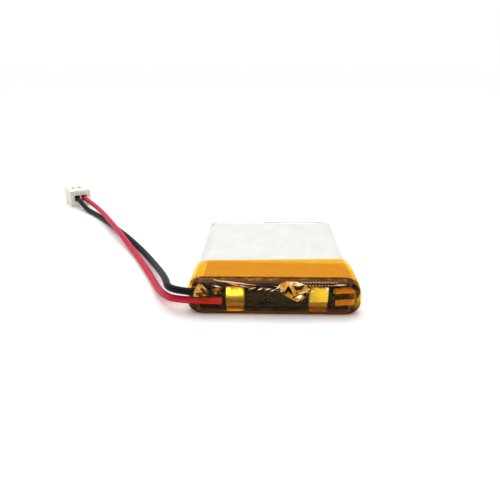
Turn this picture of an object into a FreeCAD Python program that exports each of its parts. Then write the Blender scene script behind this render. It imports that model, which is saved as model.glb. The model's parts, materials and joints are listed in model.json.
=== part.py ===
import FreeCAD, Part
import math
import os
import re
import Sketcher
from FreeCAD import Placement, Rotation, Vector

# A single-cell lithium polymer pouch cell with a protection board across its head.
#
# Frame: millimetres, +Z up, the pack lying flat. X is its width, and Y its length: the head, with the
# circuit board and the leads, is at -Y and the folded tail at +Y. The origin is the middle of the pack,
# without its leads, at the level of the tape's underside.
#
# The sheet "dims" holds the driving sizes. Every expression below is written in the sheet's aliases.

SIZES = {
    # whole pack
    "pack_length": 36.0,
    "pouch_width": 30.0,
    "pouch_thickness": 6.0,
    # pouch film and seals
    "film": 0.15,
    "flap_height": 3.0,
    "flap_gap": 0.10,
    "side_radius": 2.4,
    "tail_radius": 1.5,
    "shoulder_radius": 0.8,
    "terrace_length": 1.9,
    "terrace_width": 28.0,
    # winding
    "winding_gap": 0.20,
    "winding_side_gap": 0.35,
    "winding_head_gap": 0.65,
    "winding_tail_gap": 0.95,
    "winding_turns": 3,
    "separator_thickness": 0.10,
    "electrode_thickness": 0.25,
    "fixing_tape_thickness": 0.06,
    "fixing_tape_width": 9.0,
    # cell tabs
    "tab_spacing": 14.3,
    "tab_offset": 0.45,
    "tab_width": 3.0,
    "tab_thickness": 0.10,
    "tab_film_width": 4.5,
    "tab_film_layer": 0.05,
    "tab_film_clearance": 0.02,
    "tab_rise": 1.80,
    "tab_foot": 0.10,
    "tab_on_plate_low": 0.35,
    "tab_on_plate_high": 0.25,
    "tab_bend_step": 0.03,
    # circuit board, standing upright across the head
    "strip_thickness": 0.30,
    "strip_side": 0.30,
    "strip_above": 0.20,
    "board_thickness": 0.80,
    "board_width": 25.8,
    "board_height": 4.4,
    "board_lift": 0.07,
    "board_corner": 0.40,
    "pad_thickness": 0.05,
    "plate_width": 3.2,
    "plate_height": 3.4,
    "plate_thickness": 0.15,
    "plate_low": 0.75,
    # parts on the board
    "chip_standoff": 0.10,
    "chip_middle": 2.60,
    "protection_at": -2.90,
    "protection_width": 1.6,
    "protection_height": 2.9,
    "protection_depth": 0.95,
    "protection_span": 2.8,
    "protection_pitch": 0.95,
    "mosfet_at": 2.00,
    "mosfet_width": 4.4,
    "mosfet_height": 3.0,
    "mosfet_depth": 0.95,
    "mosfet_span": 6.4,
    "mosfet_pitch": 0.65,
    "pin_width": 0.30,
    "pin_thickness": 0.15,
    "pin_foot": 0.50,
    "passive_at": 10.90,
    "passive_width": 1.6,
    "passive_height": 0.8,
    "passive_depth": 0.45,
    "passive_first": 0.90,
    "passive_pitch": 1.30,
    # leads and their joints on the board
    "lead_diameter": 1.30,
    "wire_diameter": 0.50,
    "red_level": 2.45,
    "black_level": 3.95,
    "joint_at": -9.95,
    "joint_half_width": 0.90,
    "joint_half_height": 0.62,
    "joint_depth": 1.00,
    "wire_in_joint": 0.55,
    "lead_end_gap": 0.05,
    "lead_clearance": 0.05,
    "lead_front_room": 0.22,
    "crossing_gap": 0.09,
    # tape
    "tape": 0.08,
    "tape_reach": 8.60,
    "tape_corner": 2.5,
    "second_layer_width": 26.6,
    "second_layer_reach": 7.30,
    "head_corner": 1.2,
    "head_bottom_slant": 0.50,
    "head_bottom_rise": 0.90,
    "head_front_drop": 0.25,
    "head_top_slant": 0.50,
    "head_slant_rise": 0.85,
    "head_brow": 1.20,
    "head_brow_drop": 0.20,
    "notch_margin": 0.15,
    "notch_back_room": 0.30,
    "notch_depth": 1.40,
    # connector
    "pin_pitch": 2.0,
    "housing_width": 5.9,
    "housing_length": 7.8,
    "housing_height": 4.6,
    "housing_corner": 0.35,
    "cavity_width": 1.6,
    "cavity_height": 1.9,
    "window_width": 1.0,
    "window_length": 1.5,
    "window_from_mouth": 2.2,
    "key_width": 0.7,
    "key_depth": 0.35,
    "lead_in_housing": 2.40,
    "straight_entry": 2.80,
    "barrel_length": 1.10,
    "barrel_diameter": 1.20,
    "terminal_width": 1.30,
    "terminal_length": 3.60,
    "terminal_bore": 0.70,
    "terminal_back": 0.40,
    "connector_x": -57.4,
    "connector_y": 52.4,
    "connector_turn": 33.0,
    "surface_gap": 0.02,
}

# Levels and places worked out from the driving sizes, written as expressions of the sheet.
DERIVED = {
    "board_stack": "strip_thickness + board_thickness + pad_thickness",
    "head_depth": "board_stack + lead_clearance + lead_diameter + lead_front_room + tape",
    "tail_y": "pack_length / 2",
    "shoulder_y": "head_depth - pack_length / 2",
    "cup_length": "pack_length - head_depth",
    "cup_half": "pouch_width / 2 - 2 * film - flap_gap",
    "cup_low": "tape + film",
    "cup_height": "pouch_thickness - film",
    "flap_out": "pouch_width / 2",
    "tab_film_height": "tab_thickness + 2 * tab_film_layer",
    "terrace_y": "shoulder_y - terrace_length",
    "terrace_top": "cup_low + tab_film_height + film",
    "winding_middle": "cup_low + (cup_height - film) / 2",
    "winding_radius": "(cup_height - film) / 2 - winding_gap",
    "winding_flat": "cup_half - film - winding_side_gap - winding_radius",
    "winding_head": "shoulder_y + film + winding_head_gap",
    "winding_length": "tail_y - film - winding_tail_gap - winding_head",
    "turn_thickness": "2 * separator_thickness + 2 * electrode_thickness",
    "core_radius": "winding_radius - winding_turns * turn_thickness",
    "strip_y": "shoulder_y - strip_thickness",
    "board_y": "strip_y - board_thickness",
    "board_low": "terrace_top + board_lift",
    "plate_y": "board_y - plate_thickness",
    "tab_y": "plate_y - tab_thickness",
    "pad_y": "board_y - pad_thickness",
    "lead_y": "pad_y - lead_diameter / 2 - lead_clearance",
    "lead_start": "joint_at - joint_half_width - lead_end_gap",
    "head_y": "-pack_length / 2",
    "top_level": "pouch_thickness + 2 * tape",
    "housing_axis": "surface_gap + housing_height / 2",
}

# How near a face or an edge lies to a level to count as being on it.
NEAR = 0.01
# The share of the shorter run beside a corner of a lead's route that the corner's arc takes.
ARC_SHARE = 0.45

doc = FreeCAD.newDocument("lipo_pack")
dims = doc.addObject("Spreadsheet::Sheet", "dims")
scratch = doc.addObject("Spreadsheet::Sheet", "scratch")
nodes = []


def fill_sheet():
    """Write the driving sizes as plain numbers, and the derived ones as formulas of them."""
    row = 1
    for alias, value in SIZES.items():
        dims.set(f"A{row}", alias)
        dims.set(f"B{row}", str(value))
        dims.setAlias(f"B{row}", alias)
        row += 1
    doc.recompute()
    for alias, formula in DERIVED.items():
        dims.set(f"A{row}", alias)
        dims.set(f"B{row}", "=" + formula)
        dims.setAlias(f"B{row}", alias)
        row += 1
    doc.recompute()


def size(alias):
    """The value of one cell of the sheet, as a number."""
    return float(getattr(dims, alias))


def in_sheet(expression):
    """The same expression with each alias pointed at the sheet."""
    return re.sub(r"[a-z]\w+", lambda word: "dims." + word.group(0), str(expression))


def bind(thing, **expressions):
    """Bind properties to expressions; a double underscore in a name stands for a dot."""
    for name, expression in expressions.items():
        thing.setExpression(name.replace("__", "."), in_sheet(expression))


def place(thing, x="0", y="0", z="0"):
    bind(thing, Placement__Base__x=x, Placement__Base__y=y, Placement__Base__z=z)


def node(thing, label):
    """Mark a finished sub-part: its label becomes the name of its file."""
    thing.Label = label
    nodes.append(thing)
    return thing


def new_body(name, x="0", y="0", z="0"):
    body = doc.addObject("PartDesign::Body", name)
    place(body, x, y, z)
    return body


def new_sketch(body, name, plane, offset="0"):
    """An empty sketch on one of the body's own origin planes, moved along its normal by offset."""
    sketch = body.newObject("Sketcher::SketchObject", name)
    support = [item for item in body.Origin.OriginFeatures if item.Role == plane][0]
    sketch.AttachmentSupport = [(support, "")]
    sketch.MapMode = "FlatFace"
    bind(sketch, AttachmentOffset__Base__z=offset)
    return sketch


def value_of(expression):
    """The value of an expression of the sheet's aliases, as a number."""
    scratch.set("A1", "=" + in_sheet(expression))
    scratch.recompute()
    return float(scratch.get("A1"))


def dimension(sketch, kind, elements, value, expression):
    """A dimension of a sketch, tied to the sheet."""
    number = sketch.addConstraint(Sketcher.Constraint(kind, *elements, value))
    sketch.setExpression(f"Constraints[{number}]", in_sheet(expression))


def add_polygon(sketch, corners):
    """A closed outline whose corners are tied to the sheet by two dimensions each."""
    first = sketch.GeometryCount
    count = len(corners)
    points = [Vector(value_of(x), value_of(y), 0) for x, y in corners]
    for index in range(count):
        line = Part.LineSegment(points[index], points[(index + 1) % count])
        sketch.addGeometry(line, False)
    for index in range(count):
        here = first + index
        after = first + (index + 1) % count
        sketch.addConstraint(Sketcher.Constraint("Coincident", here, 2, after, 1))
    for index, (x, y) in enumerate(corners):
        here = first + index
        dimension(sketch, "DistanceX", (-1, 1, here, 1), points[index].x, x)
        dimension(sketch, "DistanceY", (-1, 1, here, 1), points[index].y, y)


def add_rectangle(sketch, left, low, right, high):
    add_polygon(sketch, [(left, low), (right, low), (right, high), (left, high)])


def add_stadium(sketch, half_flat, radius):
    """Two straight sides joined by half circles, centred on the sketch's origin."""
    first = sketch.GeometryCount
    flat = value_of(half_flat)
    round_end = value_of(radius)
    quarter = math.pi / 2
    right_circle = Part.Circle(Vector(flat, 0, 0), Vector(0, 0, 1), round_end)
    left_circle = Part.Circle(Vector(-flat, 0, 0), Vector(0, 0, 1), round_end)
    top_left, top_right = Vector(-flat, round_end, 0), Vector(flat, round_end, 0)
    low_left, low_right = Vector(-flat, -round_end, 0), Vector(flat, -round_end, 0)
    sketch.addGeometry(Part.ArcOfCircle(right_circle, -quarter, quarter), False)
    sketch.addGeometry(Part.LineSegment(top_right, top_left), False)
    sketch.addGeometry(Part.ArcOfCircle(left_circle, quarter, 3 * quarter), False)
    sketch.addGeometry(Part.LineSegment(low_left, low_right), False)
    right_end, top, left_end, bottom = first, first + 1, first + 2, first + 3
    sketch.addConstraint(Sketcher.Constraint("Tangent", right_end, 2, top, 1))
    sketch.addConstraint(Sketcher.Constraint("Tangent", top, 2, left_end, 1))
    sketch.addConstraint(Sketcher.Constraint("Tangent", left_end, 2, bottom, 1))
    sketch.addConstraint(Sketcher.Constraint("Tangent", bottom, 2, right_end, 1))
    sketch.addConstraint(Sketcher.Constraint("PointOnObject", right_end, 3, -1))
    sketch.addConstraint(Sketcher.Constraint("PointOnObject", left_end, 3, -1))
    dimension(sketch, "DistanceX", (-1, 1, right_end, 3), flat, half_flat)
    dimension(sketch, "DistanceX", (-1, 1, left_end, 3), -flat, f"-({half_flat})")
    dimension(sketch, "Radius", (right_end,), round_end, radius)


def pad(body, sketch, length, reverse=False, symmetric=False):
    """Add the sketch's outline, pushed out along its normal."""
    feature = body.newObject("PartDesign::Pad", sketch.Name + "_pad")
    feature.Profile = sketch
    feature.Reversed = reverse
    feature.SideType = "Symmetric" if symmetric else "One side"
    bind(feature, Length=length)
    doc.recompute()
    return feature


def pocket(body, sketch, length, reverse=False):
    """Cut the sketch's outline out of the body, and stop if nothing was cut."""
    before = body.Tip.Shape.Volume
    feature = body.newObject("PartDesign::Pocket", sketch.Name + "_pocket")
    feature.Profile = sketch
    feature.Reversed = reverse
    bind(feature, Length=length)
    doc.recompute()
    if feature.Shape.Volume >= before:
        raise RuntimeError(f"{feature.Name} cuts nothing")
    return feature


def numbered(shape, kind, test):
    """The names of a shape's edges or faces that pass a test on their centre and size."""
    items = shape.Edges if kind == "Edge" else shape.Faces
    return [f"{kind}{number + 1}" for number, item in enumerate(items) if test(item)]


def fillet(body, radius, test):
    base = body.Tip
    feature = body.newObject("PartDesign::Fillet", body.Name + f"_round{len(body.Group)}")
    feature.Base = (base, numbered(base.Shape, "Edge", test))
    bind(feature, Radius=radius)
    doc.recompute()
    return feature


def hollow(body, wall, test):
    """Leave a wall of the given thickness inside the outer faces, open at the faces that pass the test."""
    base = body.Tip
    feature = body.newObject("PartDesign::Thickness", body.Name + "_hollow")
    feature.Base = (base, numbered(base.Shape, "Face", test))
    feature.Reversed = True
    bind(feature, Value=wall)
    doc.recompute()
    return feature


def box(name, low, lengths):
    """A Part box with its low corner and its three lengths tied to the sheet."""
    thing = doc.addObject("Part::Box", name)
    bind(thing, Length=lengths[0], Width=lengths[1], Height=lengths[2])
    place(thing, *low)
    return thing


def cylinder_along_x(name, radius, length, start):
    thing = doc.addObject("Part::Cylinder", name)
    thing.Placement = Placement(Vector(), Rotation(Vector(0, 1, 0), 90))
    bind(thing, Radius=radius, Height=length)
    place(thing, *start)
    return thing


def cut(name, base, tool):
    thing = doc.addObject("Part::Cut", name)
    thing.Base = base
    thing.Tool = tool
    return thing


def fuse(name, pieces):
    thing = doc.addObject("Part::MultiFuse", name)
    thing.Shapes = pieces
    return thing


def group(name, pieces):
    thing = doc.addObject("Part::Compound", name)
    thing.Links = pieces
    return thing


def runs_along(edge, axis):
    """True for a straight edge along the named axis."""
    box_of = edge.BoundBox
    lengths = {"x": box_of.XLength, "y": box_of.YLength, "z": box_of.ZLength}
    own = lengths.pop(axis)
    return own > NEAR and max(lengths.values()) < NEAR


# ---------------------------------------------------------------- pouch


def pouch_cup():
    """The drawn half of the film: a cup with soft corners, folded side margins and the head terrace."""
    body = new_body("pouch_cup", y="shoulder_y", z="cup_low")
    section = new_sketch(body, "cup_section", "XZ_Plane")
    add_rectangle(section, "-cup_half", "0", "cup_half", "cup_height")
    pad(body, section, "cup_length", reverse=True)
    top = size("cup_height")
    length = size("cup_length")
    fillet(body, "side_radius", lambda edge: runs_along(edge, "y") and edge.CenterOfMass.z > top - NEAR)
    fillet(
        body,
        "tail_radius",
        lambda edge: edge.BoundBox.YMin > length - NEAR and edge.CenterOfMass.z > NEAR,
    )
    fillet(
        body,
        "shoulder_radius",
        lambda edge: edge.BoundBox.YMax < NEAR and edge.CenterOfMass.z > NEAR,
    )
    hollow(body, "film", lambda face: face.BoundBox.ZMax < NEAR)

    flaps = new_sketch(body, "cup_flaps", "XZ_Plane")
    for side in ("", "-"):
        add_polygon(
            flaps,
            [
                (f"{side}(cup_half - film)", "0"),
                (f"{side}(flap_out - film)", "0"),
                (f"{side}(flap_out - film)", "flap_height - film"),
                (f"{side}(flap_out - 2 * film)", "flap_height - film"),
                (f"{side}(flap_out - 2 * film)", "film"),
                (f"{side}(cup_half - film)", "film"),
            ],
        )
    pad(body, flaps, "cup_length - tail_radius", reverse=True)

    terrace = new_sketch(body, "cup_terrace", "XZ_Plane")
    add_rectangle(
        terrace,
        "-terrace_width / 2",
        "tab_film_height",
        "terrace_width / 2",
        "tab_film_height + film",
    )
    pad(body, terrace, "terrace_length")

    wall = new_sketch(body, "cup_wall_openings", "XZ_Plane")
    add_rectangle(wall, "-terrace_width / 2", "0", "terrace_width / 2", "tab_film_height")
    pocket(body, wall, "film")
    return node(body, "pouch_cup")


def pouch_sheet():
    """The flat half of the film, sealed to the cup along both folded sides and across the head."""
    body = new_body("pouch_sheet", y="shoulder_y", z="tape")
    section = new_sketch(body, "sheet_section", "XZ_Plane")
    add_polygon(
        section,
        [
            ("-flap_out", "0"),
            ("flap_out", "0"),
            ("flap_out", "flap_height"),
            ("flap_out - film", "flap_height"),
            ("flap_out - film", "film"),
            ("-(flap_out - film)", "film"),
            ("-(flap_out - film)", "flap_height"),
            ("-flap_out", "flap_height"),
        ],
    )
    pad(body, section, "cup_length", reverse=True)
    terrace = new_sketch(body, "sheet_terrace", "XZ_Plane")
    add_rectangle(terrace, "-terrace_width / 2", "0", "terrace_width / 2", "film + tab_film_height")
    pad(body, terrace, "terrace_length")
    inner = new_sketch(body, "sheet_seal", "XZ_Plane")
    add_rectangle(inner, "-terrace_width / 2", "0", "terrace_width / 2", "film + tab_film_height")
    pad(body, inner, "film", reverse=True)
    passages = new_sketch(body, "sheet_tab_passages", "XY_Plane", offset="film")
    for side in ("-", ""):
        middle = tab_middle(side)
        half = "(tab_film_width / 2 + tab_film_clearance)"
        add_rectangle(passages, f"{middle} - {half}", "-terrace_length", f"{middle} + {half}", "film")
    pocket(body, passages, "tab_film_height", reverse=True)
    return node(body, "pouch_sheet")


# ---------------------------------------------------------------- winding


def ring_layers(label, thickness, starts):
    """Nested flat rings of one material: each starts at a depth below the winding's outside."""
    body = new_body(label, y="winding_head", z="winding_middle")
    sketch = new_sketch(body, label + "_rings", "XZ_Plane")
    for start in starts:
        add_stadium(sketch, "winding_flat", f"winding_radius - ({start})")
        add_stadium(sketch, "winding_flat", f"winding_radius - ({start}) - {thickness}")
    body.AllowCompound = True
    pad(body, sketch, "winding_length", reverse=True)
    return node(body, label)


def winding():
    """The flat wound cell, drawn as closed turns: separator, anode, separator, cathode, inwards."""
    turns = [f"{number} * turn_thickness" for number in range(int(size("winding_turns")))]
    half_turn = "separator_thickness + electrode_thickness"
    anode = [f"{turn} + separator_thickness" for turn in turns]
    cathode = [f"{turn} + {half_turn} + separator_thickness" for turn in turns]
    separator = turns + [f"{turn} + {half_turn}" for turn in turns]
    ring_layers("anode_winding", "electrode_thickness", anode)
    ring_layers("cathode_winding", "electrode_thickness", cathode)
    ring_layers("separator_winding", "separator_thickness", separator)

    body = new_body("winding_core", y="winding_head", z="winding_middle")
    sketch = new_sketch(body, "core_section", "XZ_Plane")
    add_stadium(sketch, "winding_flat", "core_radius")
    pad(body, sketch, "winding_length", reverse=True)
    node(body, "winding_core")

    fixing_tape_y = "winding_head + (winding_length - fixing_tape_width) / 2"
    body = new_body("winding_fixing_tape", y=fixing_tape_y, z="winding_middle")
    sketch = new_sketch(body, "fixing_tape_section", "XZ_Plane")
    add_stadium(sketch, "winding_flat", "winding_radius + fixing_tape_thickness")
    add_stadium(sketch, "winding_flat", "winding_radius")
    pad(body, sketch, "fixing_tape_width", reverse=True)
    node(body, "winding_fixing_tape")


def tab_middle(side):
    """Where a tab and all that goes with it stands across the pack; side is "-" or nothing."""
    return f"(tab_offset {side or '+'} tab_spacing / 2)"


def cell_tab(label, side):
    """A foil tab: pressed on the winding's end, out through the head seal, and up over its plate."""
    body = new_body(label, x=tab_middle(side))
    sketch = new_sketch(body, label + "_profile", "YZ_Plane")
    low = "(cup_low + tab_film_layer)"
    high = f"({low} + tab_thickness)"
    rise = "(cup_low + tab_rise)"
    front = "(terrace_y - 2 * tab_thickness)"
    foot = "(board_low + tab_foot)"
    on_plate = "(board_low + plate_low + tab_on_plate_low)"
    top = "(board_low + plate_low + plate_height - tab_on_plate_high)"
    add_polygon(
        sketch,
        [
            ("winding_head", low),
            ("winding_head", rise),
            ("winding_head - tab_thickness", rise),
            ("winding_head - tab_thickness", high),
            (f"{front} + tab_thickness", high),
            (f"{front} + tab_thickness", foot),
            ("plate_y", on_plate),
            ("plate_y", top),
            ("tab_y", top),
            ("tab_y", f"{on_plate} + tab_bend_step"),
            (front, f"{foot} + tab_bend_step"),
            (front, low),
        ],
    )
    pad(body, sketch, "tab_width", symmetric=True)
    return node(body, label)


def tab_film(label, side):
    """The sealing film bonded round a tab where it passes between the two pouch films."""
    body = new_body(label, x=tab_middle(side), y="shoulder_y", z="cup_low")
    outer = new_sketch(body, label + "_outer", "XZ_Plane")
    add_rectangle(outer, "-tab_film_width / 2", "0", "tab_film_width / 2", "tab_film_height")
    pad(body, outer, "terrace_length")
    back = new_sketch(body, label + "_back", "XZ_Plane")
    add_rectangle(back, "-tab_film_width / 2", "0", "tab_film_width / 2", "tab_film_height")
    pad(body, back, "film", reverse=True)
    slot = new_sketch(body, label + "_slot", "XZ_Plane", offset="terrace_length")
    add_rectangle(slot, "-tab_width / 2", "tab_film_layer", "tab_width / 2", "tab_film_layer + tab_thickness")
    pocket(body, slot, "terrace_length + film")
    return node(body, label)


# ---------------------------------------------------------------- circuit


def insulating_strip():
    body = new_body("insulating_strip", y="shoulder_y")
    sketch = new_sketch(body, "strip_outline", "XZ_Plane")
    add_rectangle(
        sketch,
        "-board_width / 2 - strip_side",
        "terrace_top",
        "board_width / 2 + strip_side",
        "board_low + board_height + strip_above",
    )
    pad(body, sketch, "strip_thickness")
    return node(body, "insulating_strip")


def circuit_board():
    body = new_body("circuit_board", y="strip_y")
    sketch = new_sketch(body, "board_outline", "XZ_Plane")
    add_rectangle(sketch, "-board_width / 2", "board_low", "board_width / 2", "board_low + board_height")
    pad(body, sketch, "board_thickness")
    fillet(body, "board_corner", lambda edge: runs_along(edge, "y"))
    return node(body, "circuit_board")


def lead_pads():
    """Two copper pads, one above the other, that the leads are soldered to."""
    pads = []
    for colour in ("red", "black"):
        low = ("joint_at - joint_half_width", "pad_y", f"{colour}_level - joint_half_height")
        lengths = ("2 * joint_half_width", "pad_thickness", "2 * joint_half_height")
        pads.append(box(f"{colour}_pad", low, lengths))
    return node(group("lead_pads", pads), "lead_pads")


def nickel_plate(label, side):
    low = (f"{tab_middle(side)} - plate_width / 2", "plate_y", "board_low + plate_low")
    return node(box(label, low, ("plate_width", "plate_thickness", "plate_height")), label)


def pin_rows(label, chip, per_side):
    """Bent chip pins in two rows: a foot on the board and a short arm into the chip's side."""
    foot_y = "board_y - pin_thickness"
    arm_y = f"board_y - chip_standoff - {chip}_depth / 2 - pin_thickness / 2"
    arm_length = f"{chip}_span / 2 - {chip}_width / 2 - pin_foot + pin_thickness"
    riser_depth = f"board_y - ({arm_y})"
    pins = []
    for side in (-1, 1):
        for place_in_row in range(per_side):
            step = place_in_row - (per_side - 1) / 2
            name = f"{label}_{'left' if side < 0 else 'right'}{place_in_row}"
            low_z = f"chip_middle + ({step}) * {chip}_pitch - pin_width / 2"
            end = f"{chip}_at + ({side}) * {chip}_span / 2"
            foot_left = end if side < 0 else f"{end} - pin_foot"
            riser_left = f"{end} + pin_foot - pin_thickness" if side < 0 else f"{end} - pin_foot"
            arm_left = riser_left if side < 0 else f"{chip}_at + {chip}_width / 2"
            pieces = (
                ("foot", foot_left, foot_y, "pin_foot", "pin_thickness"),
                ("arm", arm_left, arm_y, arm_length, "pin_thickness"),
                ("riser", riser_left, arm_y, "pin_thickness", riser_depth),
            )
            bent = [
                box(f"{name}_{piece}", (left, near, low_z), (across, deep, "pin_width"))
                for piece, left, near, across, deep in pieces
            ]
            pins.append(fuse(name, bent))
    return node(group(label, pins), label)


def chip(label, kind):
    """A moulded chip body, held just off the board by its pins."""
    body = new_body(label, x=f"{kind}_at", y="board_y - chip_standoff", z="chip_middle")
    sketch = new_sketch(body, label + "_outline", "XZ_Plane")
    half_width = f"{kind}_width / 2"
    half_height = f"{kind}_height / 2"
    add_rectangle(sketch, f"-{half_width}", f"-{half_height}", half_width, half_height)
    pad(body, sketch, f"{kind}_depth")
    return node(body, label)


def passives():
    """Two resistors and a capacitor in a column at the board's plain end."""
    pieces = []
    for number in range(3):
        low_z = f"board_low + passive_first + {number} * passive_pitch - passive_height / 2"
        low = ("passive_at - passive_width / 2", "board_y - passive_depth", low_z)
        pieces.append(box(f"passive{number}", low, ("passive_width", "passive_depth", "passive_height")))
    node(group("chip_resistors", pieces[:2]), "chip_resistors")
    node(pieces[2], "chip_capacitor")


def solder_joint(colour):
    """A domed joint on its pad, round the bared end of the lead's wire."""
    dome = doc.addObject("Part::Ellipsoid", f"{colour}_dome")
    bind(dome, Radius1="joint_half_height", Radius2="joint_half_width", Radius3="joint_depth")
    place(dome, "joint_at", "pad_y", f"{colour}_level")
    behind = box(
        f"{colour}_behind",
        ("joint_at - 2 * joint_half_width", "pad_y", f"{colour}_level - 2 * joint_half_height"),
        ("4 * joint_half_width", "2 * joint_depth", "4 * joint_half_height"),
    )
    start = ("lead_start", "lead_y", f"{colour}_level")
    length = "joint_half_width + lead_end_gap + wire_in_joint"
    wire = cylinder_along_x(f"stripped_end_{colour}", "wire_diameter / 2", length, start)
    joint = cut(f"solder_joint_{colour}", cut(f"{colour}_half_dome", dome, behind), wire)
    node(joint, f"solder_joint_{colour}")
    node(wire, f"stripped_end_{colour}")


# ---------------------------------------------------------------- tape


def tape_band():
    """The tape's turn round the head end of the pouch."""
    body = new_body("tape_band", y="shoulder_y")
    sketch = new_sketch(body, "band_section", "XZ_Plane")
    add_rectangle(sketch, "-(flap_out + tape)", "0", "flap_out + tape", "top_level")
    pad(body, sketch, "tape_reach", reverse=True)
    top = size("top_level")
    length = size("tape_reach")
    fillet(body, "tape_corner", lambda edge: runs_along(edge, "y") and edge.CenterOfMass.z > top - NEAR)
    hollow(body, "tape", lambda face: face.BoundBox.YMax < NEAR or face.BoundBox.YMin > length - NEAR)
    return node(body, "tape_band")


def tape_second_layer():
    """The end of the tape, lying on the band's top as a second layer."""
    low = ("-second_layer_width / 2", "shoulder_y", "top_level")
    lengths = ("second_layer_width", "second_layer_reach", "tape")
    return node(box("tape_second_layer", low, lengths), "tape_second_layer")


def head_prism(name, plane, corners, length, radius=None, rounded=None, at=("0", "0", "0"), symmetric=False):
    """One of the three straight prisms that the head tape's outer shape is common to."""
    body = new_body(name, *at)
    sketch = new_sketch(body, name + "_outline", plane)
    add_polygon(sketch, corners)
    pad(body, sketch, length, symmetric=symmetric)
    if radius:
        fillet(body, radius, rounded)
    return body


def head_tape():
    """The tape over the circuit: down from the shoulder, over the front and under the terrace."""
    side = "(flap_out + tape)"
    top = size("top_level")
    section = head_prism(
        "head_section",
        "XZ_Plane",
        [(f"-{side}", "0"), (side, "0"), (side, "top_level"), (f"-{side}", "top_level")],
        "head_depth",
        "tape_corner",
        lambda edge: runs_along(edge, "y") and edge.CenterOfMass.z > top - NEAR,
        at=("0", "shoulder_y", "0"),
    )
    front = size("head_y")
    plan = head_prism(
        "head_plan",
        "XY_Plane",
        [(f"-{side}", "head_y"), (side, "head_y"), (side, "shoulder_y"), (f"-{side}", "shoulder_y")],
        "top_level",
        "head_corner",
        lambda edge: runs_along(edge, "z") and edge.CenterOfMass.y < front + NEAR,
    )
    profile = head_prism(
        "head_profile",
        "YZ_Plane",
        [
            ("shoulder_y", "0"),
            ("head_y + head_bottom_slant", "0"),
            ("head_y", "head_bottom_rise"),
            ("head_y", "black_level - head_front_drop"),
            ("head_y + head_top_slant", "black_level + head_slant_rise"),
            ("shoulder_y - head_brow", "top_level - head_brow_drop"),
            ("shoulder_y", "top_level"),
        ],
        f"2 * {side}",
        symmetric=True,
    )
    solid = doc.addObject("Part::MultiCommon", "head_solid")
    solid.Shapes = [section, plan, profile]
    doc.recompute()
    shoulder = size("shoulder_y")
    shell = doc.addObject("Part::Thickness", "head_shell")
    shell.Faces = (solid, numbered(solid.Shape, "Face", lambda face: face.BoundBox.YMin > shoulder - NEAR))
    bind(shell, Value="-tape")
    half = "(lead_diameter / 2 + lead_clearance)"
    notch = box(
        "lead_notch",
        (f"-{side} - tape", f"lead_y - {half}", "red_level - notch_margin - lead_diameter / 2"),
        (
            "notch_depth",
            f"2 * {half} + notch_back_room",
            "black_level - red_level + lead_diameter + 2 * notch_margin",
        ),
    )
    return node(cut("head_tape", shell, notch), "head_tape")


# ---------------------------------------------------------------- leads


def connector_placement():
    """Where the connector lies: its own +Y is the way the leads enter it."""
    turn = Rotation(Vector(0, 0, 1), size("connector_turn"))
    return Placement(Vector(size("connector_x"), size("connector_y"), size("housing_axis")), turn)


def lead_route(colour):
    """The points of one lead, from its end at the board to its end in the connector."""
    start = Vector(size("lead_start"), size("lead_y"), size(colour + "_level"))
    rest = size("lead_diameter") / 2 + size("surface_gap")
    over = rest + size("lead_diameter") + size("crossing_gap")
    if colour == "red":
        side = 1
        points = [
            Vector(-16.6, start.y, start.z - 0.10),
            Vector(-20.3, -12.4, 1.45),
            Vector(-22.9, -6.0, rest),
            Vector(-26.7, 2.4, rest),
            Vector(-32.0, 12.8, rest),
            Vector(-37.7, 22.2, over),
            Vector(-45.9, 37.2, over),
            Vector(-51.2, 45.6, 2.16),
        ]
    else:
        side = -1
        points = [
            Vector(-18.0, start.y + 0.10, start.z + 0.03),
            Vector(-20.0, -9.3, 3.15),
            Vector(-23.8, 0.3, 1.60),
            Vector(-28.5, 10.4, rest),
            Vector(-34.8, 20.8, rest),
            Vector(-42.8, 32.2, rest),
            Vector(-48.8, 40.4, rest),
            Vector(-53.2, 45.2, rest),
        ]
    across = side * size("pin_pitch") / 2
    housing = connector_placement()
    before = housing.multVec(Vector(across, -size("straight_entry"), 0))
    inside = housing.multVec(Vector(across, size("lead_in_housing"), 0))
    return [start] + points + [before, inside]


def lead(colour):
    """A tube along straight runs joined by tangent arcs as large as the two runs allow."""
    points = lead_route(colour)
    edges = []
    radii = []
    at = points[0]
    for before, corner, after in zip(points, points[1:], points[2:]):
        back = (before - corner).normalize()
        forward = (after - corner).normalize()
        turn = math.pi - back.getAngle(forward)
        reach = ARC_SHARE * min((before - corner).Length, (after - corner).Length)
        radius = reach / math.tan(turn / 2)
        first = corner + back * reach
        last = corner + forward * reach
        to_centre = (back + forward).normalize()
        centre = corner + to_centre * (radius / math.cos(turn / 2))
        middle = centre - to_centre * radius
        edges.append(Part.LineSegment(at, first).toShape())
        edges.append(Part.Arc(first, middle, last).toShape())
        radii.append(round(radius, 1))
        at = last
    edges.append(Part.LineSegment(at, points[-1]).toShape())
    path = Part.Wire(edges)
    half = size("lead_diameter") / 2
    ring = Part.makeCircle(half, points[0], points[1] - points[0])
    tube = path.makePipeShell([Part.Wire(ring)], True, False)
    section = math.pi * half**2
    print(f"{colour} lead: length {path.Length:.2f}, radii {radii}, "
          f"volume over section times length {tube.Volume / (section * path.Length):.5f}")
    thing = doc.addObject("Part::Feature", f"{colour}_lead")
    thing.Shape = tube
    thing.Placement = Placement()
    return node(thing, f"{colour}_lead")


# ---------------------------------------------------------------- connector


def on_connector(thing):
    thing.Placement = connector_placement()
    place(thing, "connector_x", "connector_y", "housing_axis")
    bind(thing, Placement__Rotation__Angle="connector_turn")


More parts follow.
